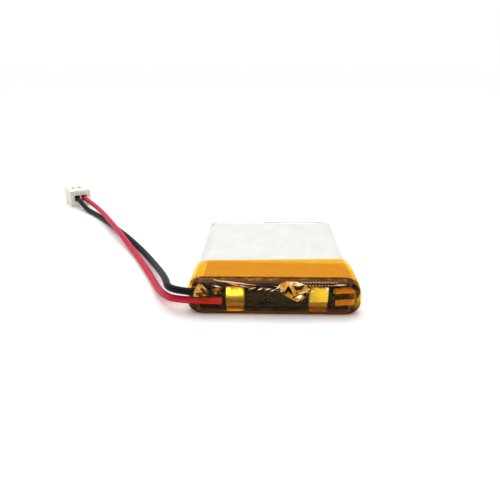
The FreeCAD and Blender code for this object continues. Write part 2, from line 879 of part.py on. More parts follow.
def connector_housing():
    """A two-way socket housing, lying flat: the leads enter at its back, its mouth is at its +Y end."""
    body = new_body("connector_housing")
    outline = new_sketch(body, "housing_outline", "XY_Plane", offset="-housing_height / 2")
    add_rectangle(outline, "-housing_width / 2", "0", "housing_width / 2", "housing_length")
    pad(body, outline, "housing_height")
    fillet(body, "housing_corner", lambda edge: runs_along(edge, "y"))
    cavities = new_sketch(body, "housing_cavities", "XZ_Plane")
    for side in ("-", ""):
        middle = f"{side}pin_pitch / 2"
        add_rectangle(
            cavities,
            f"{middle} - cavity_width / 2",
            "-cavity_height / 2",
            f"{middle} + cavity_width / 2",
            "cavity_height / 2",
        )
    pocket(body, cavities, "housing_length")
    windows = new_sketch(body, "latch_windows", "XY_Plane", offset="housing_height / 2")
    for side in ("-", ""):
        middle = f"{side}pin_pitch / 2"
        far = "housing_length - window_from_mouth"
        add_rectangle(
            windows,
            f"{middle} - window_width / 2",
            f"{far} - window_length",
            f"{middle} + window_width / 2",
            far,
        )
    pocket(body, windows, "(housing_height - cavity_height) / 2")
    keys = new_sketch(body, "key_slots", "XY_Plane", offset="-housing_height / 2")
    for side in ("-", ""):
        middle = f"{side}(pin_pitch / 2 + key_width)"
        add_rectangle(
            keys,
            f"{middle} - key_width / 2",
            "housing_length / 2",
            f"{middle} + key_width / 2",
            "housing_length",
        )
    pocket(body, keys, "key_depth", reverse=True)
    on_connector(body)
    return node(body, "connector_housing")


def crimp_terminal(colour, side):
    """A box receptacle with a crimped barrel, one behind the mouth of each cavity."""
    label = f"crimp_terminal_{colour}"
    body = new_body(label)
    middle = f"{side}pin_pitch / 2"
    half = "terminal_width / 2"
    start = "(lead_in_housing + barrel_length)"
    barrel = new_sketch(body, label + "_barrel", "XZ_Plane", offset="-lead_in_housing")
    circle = Part.Circle(Vector(value_of(middle), 0, 0), Vector(0, 0, 1), value_of("barrel_diameter / 2"))
    barrel.addGeometry(circle, False)
    barrel.addConstraint(Sketcher.Constraint("PointOnObject", 0, 3, -1))
    dimension(barrel, "DistanceX", (-1, 1, 0, 3), value_of(middle), middle)
    dimension(barrel, "Radius", (0,), value_of("barrel_diameter / 2"), "barrel_diameter / 2")
    pad(body, barrel, "barrel_length", reverse=True)
    receptacle = new_sketch(body, label + "_receptacle", "XZ_Plane", offset=f"-{start}")
    add_rectangle(receptacle, f"{middle} - {half}", f"-{half}", f"{middle} + {half}", half)
    pad(body, receptacle, "terminal_length", reverse=True)
    bore = new_sketch(body, label + "_bore", "XZ_Plane", offset=f"-({start} + terminal_back)")
    hole = "terminal_bore / 2"
    add_rectangle(bore, f"{middle} - {hole}", f"-{hole}", f"{middle} + {hole}", hole)
    pocket(body, bore, "terminal_length")
    on_connector(body)
    return node(body, label)


def check_and_write():
    """Stop if anything failed, then write each sub-part's shape to its own file."""
    doc.recompute()
    for thing in doc.Objects:
        if "Invalid" in thing.State or "Error" in thing.State:
            raise RuntimeError(f"{thing.Name} is {thing.State}")
    for thing in nodes:
        if thing.Shape.isNull() or not thing.Shape.isValid() or not thing.Shape.Solids:
            raise RuntimeError(f"{thing.Label} has no valid solid")
    os.makedirs("parts", exist_ok=True)
    for thing in nodes:
        thing.Shape.exportStep(f"parts/{thing.Label}.step")
        print(f"{thing.Label:24s} {len(thing.Shape.Solids)} solids, {thing.Shape.Volume:9.3f} mm3")


fill_sheet()
pouch_cup()
pouch_sheet()
winding()
cell_tab("anode_tab", "-")
cell_tab("cathode_tab", "")
tab_film("anode_tab_film", "-")
tab_film("cathode_tab_film", "")
insulating_strip()
circuit_board()
lead_pads()
nickel_plate("nickel_plate_negative", "-")
nickel_plate("nickel_plate_positive", "")
chip("protection_chip", "protection")
pin_rows("protection_chip_pins", "protection", 3)
chip("dual_transistor", "mosfet")
pin_rows("dual_transistor_pins", "mosfet", 4)
passives()
solder_joint("red")
solder_joint("black")
tape_band()
tape_second_layer()
head_tape()
lead("red")
lead("black")
connector_housing()
crimp_terminal("red", "")
crimp_terminal("black", "-")
check_and_write()
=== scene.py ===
import json
import math

import bmesh
import bpy
from mathutils import Euler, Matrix, Vector, geometry, noise


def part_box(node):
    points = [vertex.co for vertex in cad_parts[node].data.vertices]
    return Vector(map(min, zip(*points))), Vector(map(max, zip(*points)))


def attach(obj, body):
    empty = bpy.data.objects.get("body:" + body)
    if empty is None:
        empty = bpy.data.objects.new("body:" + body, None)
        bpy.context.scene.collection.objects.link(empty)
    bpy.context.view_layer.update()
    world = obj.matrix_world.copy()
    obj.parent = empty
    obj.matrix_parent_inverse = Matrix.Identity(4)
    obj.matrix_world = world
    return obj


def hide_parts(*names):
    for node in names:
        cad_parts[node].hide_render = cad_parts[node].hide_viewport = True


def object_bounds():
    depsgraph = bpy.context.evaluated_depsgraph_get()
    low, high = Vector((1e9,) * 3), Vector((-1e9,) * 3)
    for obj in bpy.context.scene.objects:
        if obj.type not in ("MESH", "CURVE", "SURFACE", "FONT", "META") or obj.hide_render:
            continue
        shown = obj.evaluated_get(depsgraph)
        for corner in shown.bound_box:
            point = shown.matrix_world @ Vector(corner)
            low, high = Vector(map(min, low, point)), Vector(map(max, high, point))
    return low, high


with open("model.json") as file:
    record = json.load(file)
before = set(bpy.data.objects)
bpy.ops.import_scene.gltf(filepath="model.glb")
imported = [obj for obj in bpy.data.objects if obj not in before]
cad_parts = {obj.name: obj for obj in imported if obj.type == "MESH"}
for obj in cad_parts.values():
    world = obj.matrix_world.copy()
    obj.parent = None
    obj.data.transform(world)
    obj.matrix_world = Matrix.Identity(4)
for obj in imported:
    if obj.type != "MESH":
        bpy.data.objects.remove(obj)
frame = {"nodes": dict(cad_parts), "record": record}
cad_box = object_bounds()

# All places below are in millimetres in the frame of the CAD model, and MM turns them into metres.
MM = 0.001


def corner(node, high=False):
    """A CAD node's lowest or highest corner, in millimetres."""
    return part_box(node)[1 if high else 0] / MM


# ---------------------------------------------------------------- camera and light

# Angles are in radians: how far the camera looks down, and how far it is turned to the left.
CAMERA_PLACE = Vector((-2.46, -92.63, 39.98))
CAMERA_DOWN = 0.3575
CAMERA_TURN = 0.0217
SENSOR = 36.0
FOCAL_SHARE = 0.98
NEAR_CLIP, FAR_CLIP = 0.002, 60.0  # in metres

# How bright the studio is at each height of view: 0 is the horizon and 1 straight up.
STUDIO_LEVELS = [(0.0, 0.44), (0.15, 0.44), (0.25, 0.34), (0.5, 0.34), (0.70, 0.76), (1.0, 0.95)]
# How much of that light comes from each side, from the camera's (0) to the far one (1).
STUDIO_SIDES = [(0.0, 0.06), (0.38, 0.10), (0.60, 1.0), (1.0, 1.0)]
STUDIO_STRENGTH = 2.3
# The ceiling is as bright on the camera's side as on the far one from here up.
CEILING_FROM, CEILING_FULL = 0.75, 1.0
# Soft boxes: name, place, what it is aimed at, width and height in millimetres, and watts.
SOFTBOXES = [
    ("ceiling_softbox", (20, 170, 400), (0, 0, 0), (260, 200), 0.26),
    ("front_softbox", (-40, -330, 260), (0, -16, 3), (150, 24), 0.42),
]


def make_camera():
    data = bpy.data.cameras.new("camera")
    data.sensor_width = SENSOR
    data.lens = SENSOR * FOCAL_SHARE
    data.clip_start, data.clip_end = NEAR_CLIP, FAR_CLIP
    camera = bpy.data.objects.new("camera", data)
    camera.location = CAMERA_PLACE * MM
    camera.rotation_euler = Euler((math.pi / 2 - CAMERA_DOWN, 0.0, CAMERA_TURN))
    bpy.context.scene.collection.objects.link(camera)
    bpy.context.scene.camera = camera


def area_light(name, place, aim, size, power):
    data = bpy.data.lights.new(name, "AREA")
    data.shape = "RECTANGLE"
    data.size, data.size_y = (side * MM for side in size)
    data.energy = power
    light = bpy.data.objects.new(name, data)
    light.location = Vector(place) * MM
    light.rotation_euler = (Vector(aim) - Vector(place)).to_track_quat("-Z", "Y").to_euler()
    bpy.context.scene.collection.objects.link(light)


def set_stops(ramp, stops):
    """Fill a colour ramp from pairs of place and value; a value is a grey or a colour."""
    band = ramp.color_ramp
    while len(band.elements) < len(stops):
        band.elements.new(0.5)
    for element, (at, value) in zip(band.elements, stops):
        element.position = at
        element.color = (*value, 1.0) if isinstance(value, tuple) else (value, value, value, 1.0)


def make_light():
    """A studio all round: a white backdrop, a bright soft ceiling, and little light from the front."""
    world = bpy.data.worlds.new("studio")
    world.use_nodes = True
    nodes, links = world.node_tree.nodes, world.node_tree.links

    def node(kind, source, **values):
        made = nodes.new(kind)
        for name, value in values.items():
            made.inputs[name.replace("_", " ")].default_value = value
        links.new(source, made.inputs[0])
        return made

    def joined(how, first, second):
        made = nodes.new("ShaderNodeMath")
        made.operation = how
        links.new(first, made.inputs[0])
        links.new(second, made.inputs[1])
        return made.outputs[0]

    way = node("ShaderNodeSeparateXYZ", nodes.new("ShaderNodeTexCoord").outputs["Generated"])
    levels = node("ShaderNodeValToRGB", way.outputs["Z"])
    set_stops(levels, STUDIO_LEVELS)
    from_side = node("ShaderNodeMapRange", way.outputs["Y"], From_Min=-1.0)
    sides = node("ShaderNodeValToRGB", from_side.outputs["Result"])
    set_stops(sides, STUDIO_SIDES)
    upward = node("ShaderNodeMapRange", way.outputs["Z"], From_Min=CEILING_FROM, From_Max=CEILING_FULL)
    share = joined("MAXIMUM", sides.outputs["Color"], upward.outputs["Result"])
    light = joined("MULTIPLY", levels.outputs["Color"], share)
    links.new(light, nodes["Background"].inputs["Color"])
    nodes["Background"].inputs["Strength"].default_value = STUDIO_STRENGTH
    bpy.context.scene.world = world
    for softbox in SOFTBOXES:
        area_light(*softbox)
    bpy.context.scene.view_settings.view_transform = "Standard"


# ---------------------------------------------------------------- materials

PACK_HEIGHT = cad_box[1][2] / MM
# How far the limits of the painted shade and folded film wander, as a share of the pack's height.
RAGGED = 0.12


class Paint:
    """A material and its node tree, with short ways to add what most surfaces need."""

    def __init__(self, name):
        self.material = bpy.data.materials.new(name)
        self.material.use_nodes = True
        self.tree = self.material.node_tree
        self.shader = self.tree.nodes["Principled BSDF"]
        self.place = self.tree.nodes.new("ShaderNodeTexCoord").outputs["Object"]

    def add(self, kind, **values):
        made = self.tree.nodes.new(kind)
        for name, value in values.items():
            setattr(made, name, value)
        return made

    def link(self, source, target):
        self.tree.links.new(source, target)

    def set(self, **values):
        for name, value in values.items():
            socket = self.shader.inputs[name.replace("_", " ")]
            socket.default_value = (*value, 1.0) if isinstance(value, tuple) else value

    def stretched(self, scale):
        """The object's own coordinates, in millimetres, times a factor for each axis."""
        mapping = self.add("ShaderNodeMapping")
        mapping.inputs["Scale"].default_value = [factor / MM for factor in scale]
        self.link(self.place, mapping.inputs["Vector"])
        return mapping.outputs["Vector"]

    def noise(self, scale, detail, roughness=0.55, distortion=0.0):
        texture = self.add("ShaderNodeTexNoise")
        texture.inputs["Scale"].default_value = 1.0
        texture.inputs["Detail"].default_value = detail
        texture.inputs["Roughness"].default_value = roughness
        texture.inputs["Distortion"].default_value = distortion
        self.link(self.stretched(scale), texture.inputs["Vector"])
        return texture.outputs["Fac"]

    def ramp(self, source, stops):
        """Colours or greys along a source from 0 to 1; stops are pairs of place and value."""
        made = self.add("ShaderNodeValToRGB")
        set_stops(made, stops)
        self.link(source, made.inputs["Fac"])
        return made.outputs["Color"]

    def up_the_side(self, stops):
        """Greys up the height of the head, from the underside (0) to the top (1), with ragged limits."""
        apart = self.add("ShaderNodeSeparateXYZ")
        self.link(self.stretched((1 / PACK_HEIGHT,) * 3), apart.inputs[0])
        ragged = self.add("ShaderNodeMath", operation="MULTIPLY_ADD")
        self.link(self.noise((0.8, 0.8, 0.8), 3), ragged.inputs[0])
        ragged.inputs[1].default_value = RAGGED
        self.link(apart.outputs["Z"], ragged.inputs[2])
        lower = self.add("ShaderNodeMath", operation="SUBTRACT")
        self.link(ragged.outputs[0], lower.inputs[0])
        lower.inputs[1].default_value = RAGGED / 2
        return self.ramp(lower.outputs[0], stops)

    def bump(self, source, height, onto=None):
        """Raise the surface by source, height being in millimetres."""
        made = self.add("ShaderNodeBump")
        made.inputs["Strength"].default_value = 1.0
        made.inputs["Distance"].default_value = height * MM
        self.link(source, made.inputs["Height"])
        if onto is not None:
            self.link(onto, made.inputs["Normal"])
        return made.outputs["Normal"]

    def colour(self, source):
        self.link(source, self.shader.inputs["Base Color"])

    def roughness(self, source):
        self.link(source, self.shader.inputs["Roughness"])

    def normal(self, source):
        self.link(source, self.shader.inputs["Normal"])


def pouch_paint():
    paint = Paint("pouch_film")
    paint.set(Metallic=0.55, Specular_IOR_Level=0.5)
    cloud = paint.noise((0.25, 0.12, 0.25), 5)
    paint.colour(paint.ramp(cloud, [(0.3, (0.745, 0.745, 0.715)), (0.7, (0.815, 0.815, 0.785))]))
    paint.roughness(paint.ramp(paint.noise((0.8, 0.3, 0.8), 4), [(0.3, 0.34), (0.7, 0.44)]))
    grain = paint.bump(paint.noise((9, 5, 9), 3), 0.004)
    paint.normal(paint.bump(paint.noise((0.5, 0.25, 0.5), 2), 0.06, onto=grain))
    return paint.material


def seal_paint():
    """Pouch film pressed flat by heated jaws: a fine lattice of small dimples."""
    paint = Paint("pouch_seal")
    paint.set(Metallic=0.55)
    knurl = paint.add("ShaderNodeTexWave", wave_type="BANDS", bands_direction="DIAGONAL")
    knurl.inputs["Scale"].default_value = 1.0
    paint.link(paint.stretched((0, 2.2, 2.2)), knurl.inputs["Vector"])
    other = paint.add("ShaderNodeTexWave", wave_type="BANDS", bands_direction="DIAGONAL")
    other.inputs["Scale"].default_value = 1.0
    paint.link(paint.stretched((0, -2.2, 2.2)), other.inputs["Vector"])
    cloud = paint.noise((0.5, 0.3, 0.5), 4)
    paint.colour(paint.ramp(cloud, [(0.3, (0.80, 0.805, 0.80)), (0.7, (0.88, 0.885, 0.87))]))
    paint.roughness(paint.ramp(cloud, [(0.3, 0.36), (0.7, 0.48)]))
    first = paint.bump(knurl.outputs["Fac"], 0.02)
    paint.normal(paint.bump(other.outputs["Fac"], 0.02, onto=first))
    return paint.material


GLOSS_COLOUR = (1.0, 0.95, 0.86)
GLOSS_ROUGHNESS = 0.07
# How fast the film's gloss grows towards a grazing view, and how much it reflects there.
GLOSS_POWER = 5.0
GLOSS_EDGE_ON = 0.16


def tape_paint(name, tint, haze, haze_share, wrinkle, gloss_share, shade_and_folds=None):
    """Clear amber film: what is behind it shows through tinted, under a thin haze and a gloss.

    The tint is what one face lets through, and gloss_share is how much it reflects face on. Where
    shade_and_folds is given, it says how much deeper the tint is up the height of the head: painted shade,
    on film that is also folded over itself there.
    """
    paint = Paint(name)
    streaks = paint.noise((0.25, 0.9, 0.9), 5, 0.6, 0.6)
    paler = tuple(channel ** 0.65 for channel in tint)
    deeper = tuple(channel ** 1.35 for channel in tint)
    clear = paint.add("ShaderNodeBsdfTransparent")
    colour = paint.ramp(streaks, [(0.3, paler), (0.7, deeper)])
    # The deeper tint up the head is painted shade under the brow and at the foot of the front, where the
    # film is also folded over itself.
    if shade_and_folds:
        mix = paint.add("ShaderNodeMix", data_type="RGBA")
        # A mix's sockets for colours come after those for numbers and vectors.
        first, second, mixed = mix.inputs[6], mix.inputs[7], mix.outputs[2]
        paint.link(paint.up_the_side(shade_and_folds), mix.inputs["Factor"])
        paint.link(colour, first)
        second.default_value = (*FOLD_SHADE_AMBER, 1.0)
        colour = mixed
    paint.link(colour, clear.inputs["Color"])
    fine = paint.bump(paint.noise((2.2, 2.2, 2.2), 3), wrinkle)
    paint.set(Base_Color=haze, Roughness=0.5, Specular_IOR_Level=0.0)
    paint.normal(fine)
    body = paint.add("ShaderNodeMixShader")
    body.inputs["Fac"].default_value = haze_share
    paint.link(clear.outputs[0], body.inputs[1])
    paint.link(paint.shader.outputs[0], body.inputs[2])
    gloss = paint.add("ShaderNodeBsdfAnisotropic")
    gloss.inputs["Color"].default_value = (*GLOSS_COLOUR, 1.0)
    gloss.inputs["Roughness"].default_value = GLOSS_ROUGHNESS
    paint.link(fine, gloss.inputs["Normal"])
    edge = paint.add("ShaderNodeLayerWeight")
    edge.inputs["Blend"].default_value = 0.5
    paint.link(fine, edge.inputs["Normal"])
    steep = paint.add("ShaderNodeMath", operation="POWER")
    steep.inputs[1].default_value = GLOSS_POWER
    paint.link(edge.outputs["Facing"], steep.inputs[0])
    share = paint.add("ShaderNodeMapRange")
    share.inputs["To Min"].default_value = gloss_share
    share.inputs["To Max"].default_value = GLOSS_EDGE_ON
    paint.link(steep.outputs[0], share.inputs["Value"])
    whole = paint.add("ShaderNodeMixShader")
    paint.link(share.outputs["Result"], whole.inputs["Fac"])
    paint.link(body.outputs[0], whole.inputs[1])
    paint.link(gloss.outputs[0], whole.inputs[2])
    paint.link(whole.outputs[0], paint.tree.nodes["Material Output"].inputs["Surface"])
    return paint.material


def film_inside_paint(tint):
    """The adhesive side of the film, which lies on what it covers: it tints and doesn't shine."""
    paint = Paint("amber_tape_inside")
    clear = paint.add("ShaderNodeBsdfTransparent")
    cloud = paint.noise((0.3, 0.6, 0.6), 3)
    paler = tuple(channel ** 0.9 for channel in tint)
    paint.link(paint.ramp(cloud, [(0.3, paler), (0.7, tint)]), clear.inputs["Color"])
    paint.link(clear.outputs[0], paint.tree.nodes["Material Output"].inputs["Surface"])
    return paint.material


def insulation_paint(name, dark, light, shine):
    paint = Paint(name)
    paint.set(Specular_IOR_Level=shine, Coat_Weight=0.2 * shine, Coat_Roughness=0.25)
    paint.colour(paint.ramp(paint.noise((0.8, 0.8, 0.8), 4), [(0.3, dark), (0.7, light)]))
    paint.roughness(paint.ramp(paint.noise((2, 2, 2), 3), [(0.3, 0.40), (0.7, 0.52)]))
    paint.normal(paint.bump(paint.noise((3, 3, 3), 3), 0.015))
    return paint.material


def metal_paint(name, dark, light, rough=(0.25, 0.4), grain=(0.6, 6, 0.6)):
    paint = Paint(name)
    paint.set(Metallic=1.0)
    paint.colour(paint.ramp(paint.noise((1.2, 1.2, 1.2), 4), [(0.3, dark), (0.7, light)]))
    paint.roughness(paint.ramp(paint.noise(grain, 4), [(0.3, rough[0]), (0.7, rough[1])]))
    paint.normal(paint.bump(paint.noise(grain, 3), 0.006))
    return paint.material


def plain_paint(name, dark, light, rough=(0.4, 0.6), size=1.5, height=0.01, shine=0.5):
    paint = Paint(name)
    paint.set(Specular_IOR_Level=shine)
    paint.colour(paint.ramp(paint.noise((size, size, size), 4), [(0.3, dark), (0.7, light)]))
    paint.roughness(paint.ramp(paint.noise((size * 2,) * 3, 3), [(0.3, rough[0]), (0.7, rough[1])]))
    paint.normal(paint.bump(paint.noise((size * 4,) * 3, 3), height))
    return paint.material


# What one face of the film lets through; a layer of film has two.
AMBER = (1.0, 0.885, 0.40)
# A deeper tint: painted shade on film that is also folded over itself, on the head's bands, on fold facets
# facing down and on the middle pleat of the end fold.
FOLD_SHADE_AMBER = (0.46, 0.25, 0.09)
# A near-black tint: painted shade in the gaps where the film is gathered round the right end of the head.
GAP_SHADE_AMBER = (0.25, 0.12, 0.04)
# Where up the head the tint is deeper: painted shade on the lower flap and under the brow, where the film
# is also folded and gathered.
HEAD_SHADE_AND_FOLDS = [(0.0, 1.0), (0.24, 1.0), (0.34, 0.0), (0.78, 0.0), (0.84, 1.0), (0.955, 1.0), (0.985, 0.1)]

PAINTS = {
    "pouch_film": pouch_paint(),
    "pouch_seal": seal_paint(),
    "amber_tape": tape_paint("amber_tape", AMBER, (1.0, 0.44, 0.04), 0.18, 0.02, 0.01),
    "film_inside": film_inside_paint(AMBER),
    "amber_head": tape_paint("amber_head", AMBER, (0.80, 0.30, 0.02), 0.008, 0.02, 0.012, HEAD_SHADE_AND_FOLDS),
    # The next paint is the film's painted shade, for fold facets facing down and the darker pleat.
    "amber_fold_shade": tape_paint("amber_fold_shade", FOLD_SHADE_AMBER, (0.50, 0.20, 0.02), 0.04, 0.02, 0.03),
    # Pale gold film with more gloss: a painted highlight along the ridges and pleats.
    "amber_ridge_highlight": tape_paint("amber_ridge_highlight", AMBER, (1.0, 0.60, 0.16), 0.55, 0.01, 0.30),
    # Near-black film: painted shade in the gaps of the gathered film.
    "amber_gathered": tape_paint("amber_gathered", GAP_SHADE_AMBER, (0.10, 0.04, 0.01), 0.10, 0.03, 0.03),
    # A bright gold copy of the film: a painted highlight on fold facets facing up and on the lit pleats.
    "amber_crease": tape_paint("amber_crease", AMBER, (1.0, 0.50, 0.03), 0.60, 0.03, 0.16),
    "red_insulation": insulation_paint("red_insulation", (0.50, 0.004, 0.030), (0.60, 0.008, 0.050), 0.20),
    "black_insulation": insulation_paint(
        "black_insulation", (0.002, 0.003, 0.006), (0.005, 0.007, 0.013), 0.10),
    "nickel": metal_paint("nickel", (0.78, 0.75, 0.68), (0.90, 0.88, 0.82)),
    "aluminium_tab": metal_paint("aluminium_tab", (0.80, 0.80, 0.80), (0.90, 0.90, 0.91)),
    # Pins, solder and pads are painted far darker than bare tin, solder and copper: painted shade for the
    # dark front under the film.
    "tinned_pin": metal_paint("tinned_pin", (0.025, 0.025, 0.025), (0.06, 0.06, 0.055), (0.5, 0.65)),
    "solder": metal_paint("solder", (0.22, 0.22, 0.22), (0.40, 0.40, 0.39), (0.25, 0.45), (2, 2, 2)),
    "copper_pad": metal_paint("copper_pad", (0.30, 0.14, 0.07), (0.45, 0.22, 0.11), (0.4, 0.6)),
    "terminal": metal_paint("terminal", (0.66, 0.65, 0.62), (0.80, 0.79, 0.76)),
    "copper_foil": metal_paint("copper_foil", (0.30, 0.16, 0.10), (0.42, 0.24, 0.15), (0.5, 0.7)),
    "aluminium_foil": metal_paint("aluminium_foil", (0.16, 0.16, 0.17), (0.26, 0.26, 0.27), (0.5, 0.7)),
    "separator": plain_paint("separator", (0.82, 0.82, 0.80), (0.92, 0.92, 0.90)),
    "fixing_tape": plain_paint("fixing_tape", (0.10, 0.32, 0.22), (0.16, 0.42, 0.30), (0.25, 0.4)),
    "tab_film": plain_paint("tab_film", (0.72, 0.72, 0.66), (0.84, 0.84, 0.78), (0.3, 0.45)),
    "insulating_paper": plain_paint(
        "insulating_paper", (0.60, 0.52, 0.38), (0.74, 0.66, 0.50), (0.7, 0.9), 4, 0.02),
    "board": plain_paint(
        "board", (0.002, 0.006, 0.007), (0.005, 0.012, 0.013), (0.2, 0.35), 2, 0.006, 0.12),
    "chip_body": plain_paint(
        "chip_body", (0.004, 0.004, 0.005), (0.010, 0.010, 0.012), (0.45, 0.6), 3, 0.01, 0.12),
    "resistor": plain_paint("resistor", (0.012, 0.012, 0.014), (0.03, 0.03, 0.035), (0.3, 0.45), 3),
    "capacitor": plain_paint("capacitor", (0.36, 0.24, 0.13), (0.48, 0.34, 0.20), (0.35, 0.5), 3),
    "connector_plastic": plain_paint(
        "connector_plastic", (0.82, 0.78, 0.66), (0.90, 0.87, 0.77), (0.35, 0.5), 1, 0.01),
}


# ---------------------------------------------------------------- mesh helpers


def steps(start, end, spacing):
    """Evenly spaced values from start to end, no further apart than the spacing."""
    count = max(1, math.ceil(abs(end - start) / spacing))
    return [start + (end - start) * index / count for index in range(count + 1)]


def piece(name, points, faces, paint, slot=None, smooth=True, *, stands_for):
    """A shown piece from points in millimetres, riding on the pack in place of some CAD nodes."""
    mesh = bpy.data.meshes.new(name)
    mesh.from_pydata([Vector(point) * MM for point in points], [], faces)
    mesh.validate()
    mesh.polygons.foreach_set("use_smooth", [smooth] * len(mesh.polygons))
    mesh.materials.append(PAINTS[paint])
    made = bpy.data.objects.new(name, mesh)
    bpy.context.scene.collection.objects.link(made)
    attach(made, "root")
    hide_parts(*stands_for)
    return made


def thicken(made, thickness, offset=-1.0, film=False):
    """Give an open skin its wall: inwards at an offset of -1, and half to each side at 0.

    The inside of a film has its own paint.
    """
    modifier = made.modifiers.new("wall", "SOLIDIFY")
    modifier.thickness = thickness * MM
    modifier.offset = offset
    if film:
        made.data.materials.append(PAINTS["film_inside"])
        modifier.material_offset = 1


def wobble(x, y, z, size, seed):
    """Smooth noise from about -1 to 1 whose bumps are about size millimetres across."""
    return noise.noise(Vector((x / size + seed, y / size + 1.7 * seed, z / size - 0.6 * seed)))


def catmull_rom(p, q, r, s, t):
    """A smooth curve at t, from q at 0 to r at 1; p comes before them and s after."""
    square = (2 * p - 5 * q + 4 * r - s) * t**2
    cube = (3 * q - p - 3 * r + s) * t**3
    return 0.5 * (2 * q + (r - p) * t + square + cube)


def between(keys, spacing):
    """Smooth steps through a list of keys, each a tuple of two numbers or more.

    The first number with the second, and with the third if there is one, sets how far apart the keys are.
    """
    made = []
    for index in range(len(keys) - 1):
        a, b = keys[max(index - 1, 0)], keys[index]
        c, d = keys[index + 1], keys[min(index + 2, len(keys) - 1)]
        span = max(math.hypot(c[0] - b[0], far - near) for near, far in zip(b[1:3], c[1:3]))
        count = max(2, math.ceil(span / spacing))
        for step in range(count):
            t = step / count
            made.append(tuple(catmull_rom(*four, t) for four in zip(a, b, c, d)))
    made.append(tuple(keys[-1]))
    return made


def arc(middle_x, middle_z, radius, start, end, count):
    """Points on a circle from one angle towards another, in degrees, without the last."""
    angles = (math.radians(start + (end - start) * step / count) for step in range(count))
    return [(middle_x + radius * math.cos(angle), middle_z + radius * math.sin(angle)) for angle in angles]


def line(start, end, count):
    """Points on a straight line, without the last."""
    return [tuple(a + (b - a) * step / count for a, b in zip(start, end)) for step in range(count)]


def section(low, top, half, low_radius, top_radius, flat=60, turn=10, rise=6):
    """A rounded rectangle seen along the pack, going round from the left end of its underside."""
    points = line((low_radius - half, low), (half - low_radius, low), flat)
    points += arc(half - low_radius, low + low_radius, low_radius, -90, 0, turn)
    points += line((half, low + low_radius), (half, top - top_radius), rise)
    points += arc(half - top_radius, top - top_radius, top_radius, 0, 90, turn)
    points += line((half - top_radius, top), (top_radius - half, top), flat)
    points += arc(top_radius - half, top - top_radius, top_radius, 90, 180, turn)
    points += line((-half, top - top_radius), (-half, low + low_radius), rise)
    points += arc(low_radius - half, low + low_radius, low_radius, 180, 270, turn)
    return points


def loft(rings, closed=True):
    """Join rings of as many points each by faces; the rings go along the pack."""
    size = len(rings[0])
    points = [point for ring in rings for point in ring]
    faces = []
    for ring in range(len(rings) - 1):
        for step in range(size if closed else size - 1):
            after = (step + 1) % size
            here, there = ring * size, (ring + 1) * size
            faces.append((here + step, here + after, there + after, there + step))
    return points, faces


# Points no further apart than this become one.
MERGE = 0.004


def clean(made):
    """Merge points that fall together and turn all the faces outwards."""
    mesh = bmesh.new()
    mesh.from_mesh(made.data)
    bmesh.ops.remove_doubles(mesh, verts=mesh.verts, dist=MERGE * MM)
    bmesh.ops.dissolve_degenerate(mesh, edges=mesh.edges, dist=MERGE * MM / 4)
    bmesh.ops.recalc_face_normals(mesh, faces=mesh.faces)
    mesh.to_mesh(made.data)
    mesh.free()


def displace(made, amount):
    """Move every point along its normal by an amount in millimetres that depends on its place."""
    made.data.update()
    normals = [vertex.normal.copy() for vertex in made.data.vertices]
    for vertex, normal in zip(made.data.vertices, normals):
        vertex.co += normal * amount(vertex.co / MM) * MM
    made.data.update()


def keep_inside(made, low, high):
    """Hold every point within a box in millimetres."""
    for vertex in made.data.vertices:
        vertex.co = [min(max(value, a * MM), b * MM) for value, a, b in zip(vertex.co, low, high)]


def smooth_step(value, start, end):
    share = min(1.0, max(0.0, (value - start) / (end - start)))
    return share * share * (3 - 2 * share)


def to_segment(point, start, end):
    """How far a point lies from a line between two points, and how far along it."""
    way = Vector(end) - Vector(start)
    share = (Vector(point) - Vector(start)).dot(way) / way.length_squared
    share = min(1.0, max(0.0, share))
    return (Vector(point) - Vector(start) - way * share).length, share


# ---------------------------------------------------------------- leads

# A lead's diameter, and the height of its middle where it lies on the surface and over the other one.
LEAD = 1.30
REST = LEAD / 2 + 0.02
OVER = REST + LEAD + 0.09
# The lengths of the CAD tubes, from the solder joint into the connector.
LEAD_START = -10.9
LEAD_LINE = -17.05
RED_LEVEL = 2.45
BLACK_LEVEL = 3.95
CONNECTOR = Vector((-57.4, 52.4, 2.32))
CONNECTOR_TURN = math.radians(33.0)
PIN_PITCH = 2.0


def in_connector(across, along):
    """A point in the connector's own plan, which lies turned on the surface."""
    place = Vector((across, along, 0))
    place.rotate(Euler((0, 0, CONNECTOR_TURN)))
    return CONNECTOR + place


# The red insulation reaches further in than the black one, over its own solder joint.
RED_REACH = 2.0
RED_ROUTE = [
    (LEAD_START + RED_REACH, LEAD_LINE, RED_LEVEL),
    (-16.6, LEAD_LINE, RED_LEVEL - 0.10),
    (-20.3, -12.4, 1.45),
    (-22.9, -6.0, REST),
    (-26.7, 2.4, REST),
    (-32.0, 12.8, REST),
    (-37.7, 22.2, OVER),
    (-45.9, 37.2, OVER),
    (-51.2, 45.6, OVER + 0.10),
    in_connector(PIN_PITCH / 2, -2.8),
    in_connector(PIN_PITCH / 2, 2.4),
]
BLACK_ROUTE = [
    (LEAD_START, LEAD_LINE, BLACK_LEVEL),
    (-18.0, LEAD_LINE + 0.10, BLACK_LEVEL + 0.03),
    (-20.0, -9.3, 3.15),
    (-23.8, 0.3, 1.60),
    (-28.5, 10.4, REST),
    (-34.8, 20.8, REST),
    (-42.8, 32.2, REST),
    (-48.8, 40.4, REST),
    (-53.2, 45.2, REST),
    in_connector(-PIN_PITCH / 2, -2.8),
    in_connector(-PIN_PITCH / 2, 2.4),
]


